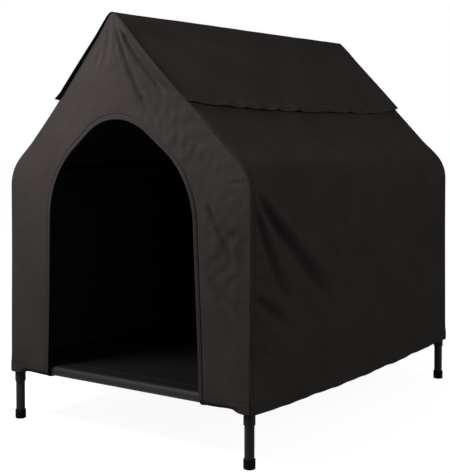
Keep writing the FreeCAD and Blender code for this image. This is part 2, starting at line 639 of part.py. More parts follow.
def fold_section(along):
    """Upright section of the folded patch, at a distance from the patch's front edge.

    Each fold is a shallow arc that runs diagonally back and down from the front eave corner and
    fades out at both of its ends.
    """
    bottom, top = number(FOLD_BOTTOM), number(BEND_Z)
    margin = number("Sizes.fold_margin")
    y = -number(HALF_LENGTH) + number("Sizes.fold_setback") + along
    face, thickness = number(COVER_X), number("Sizes.cloth")
    room = bottom
    marks = []
    for fold in reversed(FOLDS):
        drop, start, run, fall, width, depth = (
            number(f"Sizes.{fold}_{size}") for size in ("drop", "start", "run", "fall", "width", "depth")
        )
        share = max((along - start) / run, 0)
        half = width / 2 * (FOLD_TAPER + (1 - FOLD_TAPER) * min(share, 1))
        middle = max(top - drop - width / 2 * FOLD_TAPER - share * fall, room + half + margin)
        sink = depth * math.sin(math.pi * share) if 0 < share < 1 else 0
        marks.append((middle - half, middle + half, sink))
        room = middle + half
    outside = fold_chain(face, y, (bottom, top), marks)
    inside = fold_chain(face - thickness, y, (bottom, top), marks)
    rims = [Part.makeLine(Vector(face, y, top), Vector(face - thickness, y, top))]
    rims.append(Part.makeLine(Vector(face - thickness, y, bottom), Vector(face, y, bottom)))
    return Part.Wire([*outside, rims[0], *reversed(inside), rims[1]])


def fold_chain(x, y, heights, marks):
    """One face of a fold section, from bottom to top: straight between the folds, an arc in each."""
    bottom, top = heights
    here = Vector(x, y, bottom)
    chain = []
    for low, high, depth in marks:
        first, last = Vector(x, y, low), Vector(x, y, high)
        chain.append(Part.makeLine(here, first))
        if depth > 0:
            deepest = Vector(x - depth, y, (low + high) / 2)
            chain.append(Part.Arc(first, deepest, last).toShape())
        else:
            chain.append(Part.makeLine(first, last))
        here = last
    chain.append(Part.makeLine(here, Vector(x, y, top)))
    return chain


def fold_patch(name):
    """Folded patch of the right wall, lofted through its upright sections."""
    length = number("Sizes.fold_reach")
    sections = [fold_section(length * step / FOLD_SECTIONS) for step in range(FOLD_SECTIONS + 1)]
    patch = doc.addObject("Part::Feature", name)
    patch.Shape = Part.makeLoft(sections, True, True)
    return patch


def make_roof_panel(label, block, turn):
    """Roof slope from the eave seam to the ridge seam, with its vent window."""
    half_seam = "(Sizes.seam_gap / 2)"
    corners = []
    for offset, upward in ((COVER_OUTSIDE, True), (COVER_INSIDE, False)):
        bend = (BEND_X, BEND_Z, f"(Sizes.elbow_radius + {offset})")
        peak = ("0", RIDGE_HEIGHT, offset)
        chain = [
            eave_seam(offset, HALF_EAVE_TURN),
            eave_seam(offset, EAVE_TURN),
            (f"({offset} * cos({EAVE_TURN}))", f"({RIDGE_HEIGHT} + {offset} * sin({EAVE_TURN}))"),
            (half_seam, f"({RIDGE_HEIGHT} + sqrt({offset} * {offset} - {half_seam} * {half_seam}))"),
        ]
        if upward:
            corners += [(*chain[0], *bend), chain[1], (*chain[2], *peak), chain[3]]
        else:
            corners += [(*chain[3], *peak), chain[2], (*chain[1], *bend), chain[0]]
    slope = prism(f"{label}_slope", FRONT_PLANE, corners, f"4 * {COVER_Y}")
    window = slope_box(f"{label}_window", 1, "0", f"(-{COVER_INSIDE})", f"(4 * {COVER_INSIDE})")
    panel = cut(label, common(f"{label}_blank", slope, block), [window])
    place(panel, ("0", "0", "0"), turn)
    finish(panel, label)


def slope_box(name, side, margin, low, thickness):
    """Vent-sized box on a slope, grown by a margin, from a height above the rafter axes.

    side is 1 on the right and -1 on the left.
    """
    turn = Rotation(ALONG_Y, number("Sizes.roof_pitch"))
    if side < 0:
        turn = HALF_TURN.multiply(turn)
    down = f"(Sizes.vent_drop - {margin})"
    length = f"(Sizes.vent_length + 2 * {margin})"
    at = (
        f"{side} * ({down} * cos(Sizes.roof_pitch) + {low} * sin(Sizes.roof_pitch))",
        f"-{side} * {length} / 2",
        f"{RIDGE_HEIGHT} - {down} * sin(Sizes.roof_pitch) + {low} * cos(Sizes.roof_pitch)",
    )
    return box(name, (f"Sizes.vent_width + 2 * {margin}", length, thickness), at, turn)


def make_vent_mesh(label, side):
    """Mesh sewn under the vent window."""
    low = f"({COVER_INSIDE} - Sizes.tape_gap - Sizes.mesh)"
    finish(slope_box(label, side, "Sizes.vent_margin", low, "Sizes.mesh"), label)


def cap_reach(end, height):
    """Length of the second roof layer from the middle to an end: the gable's plane and the overhang."""
    return f"({COVER_Y} + max({lean_at(end, height)}; 0) + {OVERHANGS[end]})"


def make_ridge_strip():
    """Crest of the second roof layer, sewn over the ridge between its two flaps."""
    tangent = "Sizes.roof_pitch"
    corners = []
    for offset, clockwise in ((STRIP_OUTSIDE, True), (STRIP_INSIDE, False)):
        x = f"({offset} * sin({tangent}))"
        z = f"({RIDGE_HEIGHT} + {offset} * cos({tangent}))"
        arc = ("0", RIDGE_HEIGHT, offset)
        ends = [(f"(-{x})", z), (x, z)]
        first, last = ends if clockwise else ends[::-1]
        corners += [(*first, *arc), last]
    front, rear = cap_reach(-1, HINGE_Z), cap_reach(1, HINGE_Z)
    strip = prism("ridge_strip", FRONT_PLANE, corners, f"({front} + {rear})")
    place(strip, ("0", f"({rear} - {front}) / 2", "0"))
    finish(strip, "ridge_strip")


def make_roof_flap(label, at, turn, facing):
    """Loose flap of the second roof layer; its upper edge is rounded about its hinge line.

    facing is -1 where the front is drawn towards -Y, and 1 where it is drawn towards +Y.
    """
    lower = f"({HINGE_Z} - Sizes.flap_length * sin({FLAP_PITCH}))"
    first_top, first_low = cap_reach(facing, HINGE_Z), cap_reach(facing, lower)
    last_top, last_low = cap_reach(-facing, HINGE_Z), cap_reach(-facing, lower)
    half = f"(({first_low} + {last_low}) / 2)"
    middle = f"(({last_low} - {first_low}) / 2)"
    radius = f"(({half} * {half} + Sizes.flap_sag * Sizes.flap_sag) / (2 * Sizes.flap_sag))"
    centre = f"(Sizes.flap_length + Sizes.flap_sag - {radius})"
    flat = prism(f"{label}_flat", TOP_PLANE, (
        ("0", f"(-{first_top})"),
        ("Sizes.flap_length", f"(-{first_low})", centre, middle, radius),
        ("Sizes.flap_length", last_low),
        ("0", last_top),
    ), "Sizes.cloth")
    edge = cylinder(f"{label}_edge", "Sizes.cloth / 2", f"({first_top} + {last_top})",
                    ("0", f"-{first_top}", "0"), ALONG_Y)
    flap = fuse(label, [flat, edge])
    place(flap, at, turn)
    finish(flap, label)


def make_hem_tapes():
    """Hook-and-loop tapes between the hem and the bed sleeves."""
    inner = f"({SLEEVE} + Sizes.tape_gap)"
    outer = f"({COVER_INSIDE} - Sizes.tape_gap)"
    front_start = f"({DOOR_HALF} + Sizes.tape_inset)"
    sleeve_end = f"({CROSS_SLEEVE} / 2 - Sizes.tape_inset)"
    front = [
        half_ring(f"front_hem_{side}", outer, inner, f"({sleeve_end} - {front_start})",
                  (start, f"-{HALF_LENGTH}", "Sizes.bed_height"))
        for side, start in (("left", f"-{sleeve_end}"), ("right", front_start))
    ]
    group = doc.addObject("Part::Compound", "front_hem_tapes")
    group.Links = front
    finish(group, "front_hem_tapes")
    rear = half_ring("rear_hem", outer, inner, f"2 * {sleeve_end}",
                     (f"-{sleeve_end}", HALF_LENGTH, "Sizes.bed_height"))
    finish(rear, "rear_hem_tape")
    side_length = f"({SIDE_SLEEVE} - 2 * Sizes.tape_inset)"
    for side, low in (("left", f"-{HALF_WIDTH} - {outer}"), ("right", f"{HALF_WIDTH} + {inner}")):
        tape = box(f"{side}_hem", (f"{outer} - {inner}", side_length, "Sizes.tape_width"),
                   (low, f"-{side_length} / 2", "Sizes.bed_height - Sizes.tape_width / 2"))
        finish(tape, f"{side}_hem_tape")


def make_bed_base():
    """Legs, feet, corner connectors and bed tubes."""
    corners = (
        ("front_left", -1, -1, 0),
        ("front_right", 1, -1, 1),
        ("rear_right", 1, 1, 2),
        ("rear_left", -1, 1, 3),
    )
    leg_length = f"Sizes.bed_height - {HALF_STOP} - Sizes.end_gap - Sizes.foot_floor"
    for name, x_sign, y_sign, quarter_turns in corners:
        x, y = f"{x_sign} * {HALF_WIDTH}", f"{y_sign} * {HALF_LENGTH}"
        make_foot_cap(f"{name}_foot_cap", (x, y, "0"))
        make_tube(f"{name}_leg", "Sizes.rail_od", "Sizes.rail_wall", leg_length,
                  (x, y, "Sizes.foot_floor"), UP)
        make_corner_connector(f"{name}_corner_connector", (x, y, "Sizes.bed_height"), quarter_turns)
    cross_half = f"({HALF_WIDTH} - {CORE} - Sizes.end_gap)"
    side_half = f"({HALF_LENGTH} - {CORE} - Sizes.end_gap)"
    for name, sign in (("front", -1), ("rear", 1)):
        make_tube(f"{name}_cross_tube", "Sizes.rail_od", "Sizes.rail_wall", f"2 * {cross_half}",
                  (f"-{cross_half}", f"{sign} * {HALF_LENGTH}", "Sizes.bed_height"), ALONG_X)
    for name, sign in (("left", -1), ("right", 1)):
        make_tube(f"{name}_side_rail", "Sizes.rail_od", "Sizes.rail_wall", f"2 * {side_half}",
                  (f"{sign} * {HALF_WIDTH}", f"-{side_half}", "Sizes.bed_height"), ALONG_Y)


def make_house_frame():
    """Uprights, elbows, rafters, ridge connectors, ridge tube and eave rails."""
    pitch = math.radians(number("Sizes.roof_pitch"))
    upright_start = f"(Sizes.bed_height + {HALF_STOP} + Sizes.end_gap)"
    upright_length = f"{BEND_Z} - Sizes.end_gap - {upright_start}"
    rafter_start = f"({ELBOW_TANGENT} + Sizes.end_gap)"
    rafter_length = f"{RAFTER_RUN} - {rafter_start} - {RIDGE_CORE} - Sizes.end_gap"
    for end, y_sign in (("front", -1), ("rear", 1)):
        y = f"{y_sign} * {HALF_LENGTH}"
        for side, x_sign in (("left", -1), ("right", 1)):
            name, x = f"{end}_{side}", f"{x_sign} * {HALF_WIDTH}"
            make_tube(f"{name}_upright", "Sizes.pole_od", "Sizes.pole_wall", upright_length,
                      (x, y, upright_start), UP)
            # The elbow is drawn for the right side, so a left one is turned half round.
            turn = NO_TURN if x_sign > 0 else HALF_TURN
            make_eave_elbow(f"{name}_eave_elbow", (x, y, "Sizes.eave_height"), turn, -y_sign * x_sign)
            rafter_at = (
                f"{x_sign} * ({HALF_WIDTH} - {rafter_start} * cos(Sizes.roof_pitch))",
                y,
                f"Sizes.eave_height + {rafter_start} * sin(Sizes.roof_pitch)",
            )
            up_slope = Vector(-x_sign * math.cos(pitch), 0, math.sin(pitch))
            make_tube(f"{name}_rafter", "Sizes.pole_od", "Sizes.pole_wall", rafter_length,
                      rafter_at, up_slope)
        turn = NO_TURN if y_sign < 0 else HALF_TURN
        make_ridge_connector(f"{end}_ridge_connector", ("0", y, RIDGE_HEIGHT), turn, LEANS[y_sign])
    rail_half = f"({HALF_LENGTH} - {POLE_CORE} - Sizes.end_gap)"
    rails = (
        ("ridge_tube", "0", RIDGE_HEIGHT),
        ("left_eave_rail", f"-{EAVE_RAIL_X}", EAVE_RAIL_Z),
        ("right_eave_rail", EAVE_RAIL_X, EAVE_RAIL_Z),
    )
    for name, x, z in rails:
        make_tube(name, "Sizes.pole_od", "Sizes.pole_wall", f"2 * {rail_half}",
                  (x, f"-{rail_half}", z), ALONG_Y)


def make_cover():
    """Sewn cover, its second roof layer and its hem tapes."""
    make_gable_panel("front_panel", -1, with_door=True)
    make_gable_panel("rear_panel", 1, with_door=False)
    make_door_binding()
    make_wall_panel("right_wall_panel", NO_TURN, folded=True)
    make_wall_panel("left_wall_panel", HALF_TURN, folded=False)
    flap_turn = Rotation(ALONG_Y, number(FLAP_PITCH))
    for side, sign, turn in (("right", 1, NO_TURN), ("left", -1, HALF_TURN)):
        make_roof_panel(f"{side}_roof_panel", make_gable_block(f"{side}_block", -sign), turn)
        make_vent_mesh(f"{side}_vent_mesh", sign)
        make_roof_flap(f"{side}_roof_flap", (f"{sign} * {HINGE_X}", "0", HINGE_Z),
                       turn.multiply(flap_turn), -sign)
    make_ridge_strip()
    make_hem_tapes()


def check_document():
    """Stop if an object failed or a sub-part has no valid shape."""
    for thing in doc.Objects:
        faults = {"Invalid", "Error"} & set(thing.State)
        if faults:
            raise RuntimeError(f"{thing.Label}: {', '.join(sorted(faults))}")
    for label, thing in finished.items():
        if thing.Shape.isNull() or not thing.Shape.isValid() or not thing.Shape.Solids:
            raise RuntimeError(f"{label}: no valid solid")


def write_parts():
    """Write each sub-part to its own file."""
    os.makedirs("parts", exist_ok=True)
    for label, thing in finished.items():
        thing.Shape.exportStep(f"parts/{label}.step")
        shape = thing.Shape
        print(f"{label}: {len(shape.Solids)} solid, {shape.Volume:.0f} mm3, {len(shape.Faces)} faces")


make_bed_base()
make_house_frame()
make_bed_sling()
make_cover()
doc.recompute()
check_document()
write_parts()
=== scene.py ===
"""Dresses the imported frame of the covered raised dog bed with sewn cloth, seams and finishes."""

import logging
import math
from collections.abc import Callable, Sequence
from dataclasses import dataclass
from enum import Enum
from functools import cached_property

import bmesh
import bpy
import numpy as np
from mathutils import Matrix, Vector


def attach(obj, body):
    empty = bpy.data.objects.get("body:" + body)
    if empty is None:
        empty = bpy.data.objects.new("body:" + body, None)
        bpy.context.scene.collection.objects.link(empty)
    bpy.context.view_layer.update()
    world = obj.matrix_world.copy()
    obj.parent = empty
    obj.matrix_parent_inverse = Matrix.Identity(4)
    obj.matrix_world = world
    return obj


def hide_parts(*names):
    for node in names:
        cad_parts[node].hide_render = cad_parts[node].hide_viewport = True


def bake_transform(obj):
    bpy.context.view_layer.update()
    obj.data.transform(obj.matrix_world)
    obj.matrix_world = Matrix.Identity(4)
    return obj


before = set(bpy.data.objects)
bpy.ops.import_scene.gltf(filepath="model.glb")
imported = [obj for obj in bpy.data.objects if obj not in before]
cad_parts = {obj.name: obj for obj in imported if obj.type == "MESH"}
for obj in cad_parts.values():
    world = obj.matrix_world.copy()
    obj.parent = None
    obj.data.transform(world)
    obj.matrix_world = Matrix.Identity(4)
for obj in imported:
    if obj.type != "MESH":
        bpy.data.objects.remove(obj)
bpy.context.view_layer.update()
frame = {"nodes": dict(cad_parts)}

LOG = logging.getLogger("dog_bed")
Array = np.ndarray
Pair = tuple[Array, Array]
Colour = tuple[float, float, float]


class Side(Enum):
    """Side of the house, as the sign of X."""

    LEFT = -1
    RIGHT = 1

    @property
    def label(self) -> str:
        """Word that the names of its pieces start with."""
        return self.name.lower()


class End(Enum):
    """End of the house, as the sign of Y."""

    FRONT = -1
    REAR = 1


def ramp(values: Array, low: float, high: float) -> Array:
    """Smooth step from 0 at low to 1 at high."""
    share = np.clip((values - low) / (high - low), 0.0, 1.0)
    return share * share * (3.0 - 2.0 * share)


def bell(values: Array, centre: float, width: float) -> Array:
    """Bell of height 1 round a centre."""
    return np.exp(-(((values - centre) / width) ** 2))


def stations(marks: Sequence[float], step: float, fine: float, reach: float) -> Array:
    """Stops of a grid along one of its directions.

    Args:
        marks: Places that need a stop, in order; the first and last are the ends.
        step: Widest spacing.
        fine: Spacing near both ends.
        reach: How far from an end the fine spacing goes.

    Returns:
        The stops in rising order.
    """
    first, last = marks[0], marks[-1]
    inner = [first + reach, *marks[1:-1], last - reach]
    near = np.arange(0.0, reach - fine / 2, fine)
    stops = [first + near]
    for low, high in zip(inner, inner[1:]):
        count = max(1, math.ceil((high - low) / step))
        stops.append(np.linspace(low, high, count, endpoint=False))
    stops.append([last - reach])
    stops.append(last - near[::-1])
    return np.concatenate(stops)


def srgb(red: int, green: int, blue: int) -> Colour:
    """Linear colour of screen values.

    Args:
        red: Red from 0 to 255.
        green: Green from 0 to 255.
        blue: Blue from 0 to 255.

    Returns:
        The linear colour.
    """
    shares = [value / 255 for value in (red, green, blue)]
    linear = [s / 12.92 if s <= 0.04045 else ((s + 0.055) / 1.055) ** 2.4 for s in shares]
    return linear[0], linear[1], linear[2]


def operation(name: str, swapped: bool = False) -> Callable[..., "Value"]:
    """Makes a method that adds a Math node.

    Args:
        name: Operation of the node.
        swapped: Whether the other term stands before the value.

    Returns:
        The method.
    """

    def apply(value: "Value", *others: "Value | float") -> "Value":
        """Adds the node on a value and the other term, if there is one."""
        terms = (*others, value) if swapped else (value, *others)
        return value.graph.math(name, *terms)

    return apply


class Value:
    """A shader socket that takes part in Python arithmetic."""

    __add__ = operation("ADD")
    __radd__ = operation("ADD", swapped=True)
    __sub__ = operation("SUBTRACT")
    __rsub__ = operation("SUBTRACT", swapped=True)
    __mul__ = operation("MULTIPLY")
    __rmul__ = operation("MULTIPLY", swapped=True)
    __truediv__ = operation("DIVIDE")
    __rtruediv__ = operation("DIVIDE", swapped=True)
    sine = operation("SINE")
    size = operation("ABSOLUTE")
    floor = operation("FLOOR")
    fraction = operation("FRACT")
    either = operation("MAXIMUM")

    def __init__(self, graph: "Graph", socket: bpy.types.NodeSocket) -> None:
        """Wraps a socket of a graph."""
        self.graph = graph
        self.socket = socket

    def step(self, low: float, high: float) -> "Value":
        """Smooth step from 0 at low to 1 at high.

        Args:
            low: Where it leaves 0.
            high: Where it reaches 1.

        Returns:
            The step.
        """
        node = self.graph.node(
            "ShaderNodeMapRange",
            {"interpolation_type": "SMOOTHSTEP"},
            {"Value": self, "From Min": low, "From Max": high},
        )
        return Value(self.graph, node.outputs["Result"])


class Graph:
    """A node tree and the one method that adds nodes to it."""

    def __init__(self, tree: bpy.types.NodeTree) -> None:
        """Starts with an empty tree."""
        self.tree = tree
        tree.nodes.clear()

    def node(
        self,
        kind: str,
        settings: dict[str, object] | None = None,
        sockets: dict[str | int, object] | None = None,
    ) -> bpy.types.Node:
        """Adds a node.

        Args:
            kind: Type of the node.
            settings: Properties, set first.
            sockets: Values or links of its inputs, by name or place.

        Returns:
            The node.
        """
        made = self.tree.nodes.new(kind)
        for name, value in (settings or {}).items():
            setattr(made, name, value)
        for place, value in (sockets or {}).items():
            self.feed(made.inputs[place], value)
        return made

    def feed(self, socket: bpy.types.NodeSocket, value: object) -> None:
        """Links a socket, or sets its value.

        Args:
            socket: Input of a node.
            value: A value, a socket or a plain setting.
        """
        if isinstance(value, Value):
            self.tree.links.new(value.socket, socket)
        elif isinstance(value, bpy.types.NodeSocket):
            self.tree.links.new(value, socket)
        else:
            socket.default_value = value

    def math(self, name: str, *terms: "Value | float") -> Value:
        """Adds a Math node on values."""
        node = self.node("ShaderNodeMath", {"operation": name}, dict(enumerate(terms)))
        return Value(self, node.outputs[0])

    def mix(self, share: Value, low: object, high: object) -> bpy.types.NodeSocket:
        """Mixes two colours by a share."""
        node = self.node("ShaderNodeMix", {"data_type": "RGBA"}, {0: share, 6: low, 7: high})
        return node.outputs[2]

    def noise(self, place: object, scale: float, detail: float = 2.0) -> Value:
        """Adds a Noise texture on coordinates."""
        node = self.node("ShaderNodeTexNoise", {}, {"Vector": place, "Scale": scale, "Detail": detail})
        return Value(self, node.outputs["Fac"])

    def stretched(self, place: object, scale: Sequence[float]) -> bpy.types.NodeSocket:
        """Coordinates scaled apart along their axes."""
        node = self.node("ShaderNodeMapping", {}, {"Vector": place, "Scale": tuple(scale)})
        return node.outputs["Vector"]

    def axes(self, place: object) -> tuple[Value, Value, Value]:
        """Coordinates taken apart."""
        parts = self.node("ShaderNodeSeparateXYZ", {}, {0: place}).outputs
        return Value(self, parts["X"]), Value(self, parts["Y"]), Value(self, parts["Z"])

    def flat_place(self) -> bpy.types.NodeSocket:
        """Place on a sheet's flat cloth."""
        return self.node("ShaderNodeUVMap", {"uv_map": "flat"}).outputs["UV"]

    def object_place(self) -> bpy.types.NodeSocket:
        """Place in the piece's own frame."""
        return self.node("ShaderNodeTexCoord").outputs["Object"]


def opaque(colour: Colour) -> tuple[float, float, float, float]:
    """Colour with full alpha."""
    return (*colour, 1.0)


@dataclass(frozen=True)
class Finish:
    """What all finishes share: a name, two tones, the shine and the depth of the relief."""

    name: str
    tone: Colour
    light_tone: Colour
    roughness: float
    relief: float
    specular: float

    def pattern(self, graph: Graph) -> tuple[Value, Value, Value]:
        """Share of the light tone, what is added to the roughness, and the relief from 0 to 1."""
        raise NotImplementedError

    def make(self) -> bpy.types.Material:
        """Builds the material.

        Returns:
            The material.
        """
        material = bpy.data.materials.new(self.name)
        material.use_nodes = True
        graph = Graph(material.node_tree)
        shade, gloss, height = self.pattern(graph)
        bump = graph.node("ShaderNodeBump", {}, {"Height": height, "Distance": self.relief})
        shader = graph.node("ShaderNodeBsdfPrincipled", {}, {
            "Base Color": graph.mix(shade, opaque(self.tone), opaque(self.light_tone)),
            "Roughness": gloss + self.roughness,
            "Specular IOR Level": self.specular,
            "Normal": bump.outputs["Normal"],
        })
        graph.node("ShaderNodeOutputMaterial", {}, {"Surface": shader.outputs["BSDF"]})
        return material


@dataclass(frozen=True)
class WovenFinish(Finish):
    """Plain-woven synthetic cloth; the weave follows the panel's own flat coordinates."""

    thread: float = 0.0011
    contrast: float = 1.0

    def painted_highlight(self, across: Value, along: Value) -> Value | float:
        """Painted highlight that a kind of cloth adds to the light tone's share at a place on the flat
        cloth; plain cloth adds none.
        """
        return 0.0

    def pattern(self, graph: Graph) -> tuple[Value, Value, Value]:
        """Over-and-under threads, slubs along both of them, and fuzz.

        Args:
            graph: Graph of the material.

        Returns:
            Light tone's share, added roughness and relief.
        """
        flat = graph.flat_place()
        across, along, _ = graph.axes(flat)
        warp, weft = across / self.thread, along / self.thread
        over = ((warp.floor() + weft.floor()) * 0.5).fraction() * 2
        warp_round = (warp * math.pi).sine().size()
        weft_round = (weft * math.pi).sine().size()
        weave = warp_round * over + weft_round * (1 - over)
        slub = graph.noise(graph.stretched(flat, (900, 60, 1)), 1.0)
        pick = graph.noise(graph.stretched(flat, (60, 900, 1)), 1.0)
        fuzz = graph.noise(flat, 210, 3.0)
        cloud = graph.noise(flat, 9, 3.0)
        mottle = fuzz.step(0.25, 0.78) * 0.25 + cloud.step(0.3, 0.72) * 0.14
        shade = weave * 0.12 + (slub + pick) * 0.14 + mottle
        # the cloth's painted highlight, if it has one, is added to the light tone's share here
        shade = shade * self.contrast + self.painted_highlight(across, along)
        height = weave * 0.6 + (slub + pick) * 0.22 + fuzz * 0.5
        return shade, fuzz * 0.14 - weave * 0.05, height


@dataclass(frozen=True)
class SlingFinish(WovenFinish):
    """Dark bed cloth whose sleeves, from the front of the bed tubes on, carry a painted highlight in
    the lighter tone along the tubes.
    """

    face: tuple[float, float] = (0.3055, 0.4355)
    seam: float = 0.0025
    # share of the light tone painted onto the sleeves as a highlight along the tubes
    painted_highlight_share: float = 0.8

    def painted_highlight(self, across: Value, along: Value) -> Value | float:
        """Painted highlight: lighter beyond the bed's face, on the sleeves round the tubes.

        Args:
            across: Place across the flat cloth.
            along: Place along it.

        Returns:
            What the painted highlight adds to the light tone's share.
        """
        width, length = self.face
        beside = across.size().step(width - self.seam, width)
        beyond = along.size().step(length - self.seam, length)
        return beside.either(beyond) * self.painted_highlight_share


@dataclass(frozen=True)
class CoatedFinish(Finish):
    """Powder-coated tube: fine orange peel, rubbed spots where tubes slide."""

    def pattern(self, graph: Graph) -> tuple[Value, Value, Value]:
        """Orange peel, cloudiness and rubbed spots.

        Args:
            graph: Graph of the material.

        Returns:
            Light tone's share, added roughness and relief.
        """
        place = graph.object_place()
        peel = graph.noise(place, 620, 2.0)
        cloud = graph.noise(place, 24, 3.0)
        rub = graph.noise(graph.stretched(place, (160, 160, 14)), 1.0, 4.0).step(0.6, 0.8)
        shade = cloud * 0.3 + peel * 0.12 + rub * 0.45
        return shade, peel * 0.14 + cloud * 0.1 - rub * 0.08, peel


@dataclass(frozen=True)
class MouldedFinish(Finish):
    """Moulded plastic or rubber with a spark-eroded grain; dust gathers near the floor."""

    grain: float = 900
    dust_height: float = 0.012

    def pattern(self, graph: Graph) -> tuple[Value, Value, Value]:
        """Grain, cloudiness and dust.

        Args:
            graph: Graph of the material.

        Returns:
            Light tone's share, added roughness and relief.
        """
        place = graph.object_place()
        _, _, height = graph.axes(place)
        grain = graph.noise(place, self.grain, 2.0)
        cloud = graph.noise(place, 55, 3.0)
        dust = (1 - height.step(0.001, self.dust_height)) * cloud.step(0.3, 0.7)
        shade = cloud * 0.25 + grain * 0.25 + dust * 0.5
        return shade, grain * 0.16 + dust * 0.1, grain


@dataclass(frozen=True)
class HookFinish(Finish):
    """Hook-and-loop tape: rows of small hooks on a woven ground."""

    pitch: float = 0.0016

    def pattern(self, graph: Graph) -> tuple[Value, Value, Value]:
        """Hooks and fuzz.

        Args:
            graph: Graph of the material.

        Returns:
            Light tone's share, added roughness and relief.
        """
        flat = graph.flat_place()
        across, along, _ = graph.axes(flat)
        turn = math.pi / self.pitch
        hooks = ((across * turn).sine().size() * (along * turn).sine().size()).step(0.35, 0.75)
        fuzz = graph.noise(flat, 420, 3.0)
        return hooks * 0.4 + fuzz * 0.4, fuzz * 0.2 - hooks * 0.15, hooks * 0.8 + fuzz * 0.3


@dataclass(frozen=True)
class ThreadFinish(Finish):
    """Twisted yarn or sewing thread."""

    def pattern(self, graph: Graph) -> tuple[Value, Value, Value]:
        """Twist of the fibres."""
        twist = graph.noise(graph.object_place(), 1500, 1.0)
        return twist * 0.8, twist * 0.2, twist


COVER_CLOTH = WovenFinish(
    "cover_cloth", srgb(42, 38, 37), srgb(66, 62, 61), 0.85, 0.00022, 0.0
)
# on the sleeves the light tone is a painted highlight along the bed tubes
BED_CLOTH = SlingFinish(
    "bed_cloth", srgb(8, 8, 8), srgb(30, 29, 28), 0.48, 0.00026, 0.13, thread=0.0014, contrast=0.35
)
BINDING_TAPE = WovenFinish(
    "binding_tape", srgb(42, 38, 37), srgb(66, 62, 61), 0.80, 0.00016, 0.0, thread=0.0007
)
NET_YARN = ThreadFinish("vent_net_yarn", srgb(26, 26, 26), srgb(48, 47, 46), 0.6, 0.00005, 0.05)
SEWING_THREAD = ThreadFinish(
    "sewing_thread", srgb(30, 28, 27), srgb(54, 51, 50), 0.7, 0.00004, 0.03
)
TUBE_COAT = CoatedFinish("tube_coat", srgb(34, 34, 33), srgb(60, 60, 58), 0.46, 0.00006, 0.04)
CONNECTOR_PLASTIC = MouldedFinish(
    "connector_plastic", srgb(26, 26, 25), srgb(46, 46, 44), 0.50, 0.00008, 0.05
)
FOOT_RUBBER = MouldedFinish(
    "foot_rubber", srgb(9, 9, 9), srgb(26, 26, 25), 0.78, 0.00016, 0.03, grain=640
)
HOOK_TAPE = HookFinish("hook_tape", srgb(22, 22, 22), srgb(58, 57, 56), 0.7, 0.0004, 0.05)


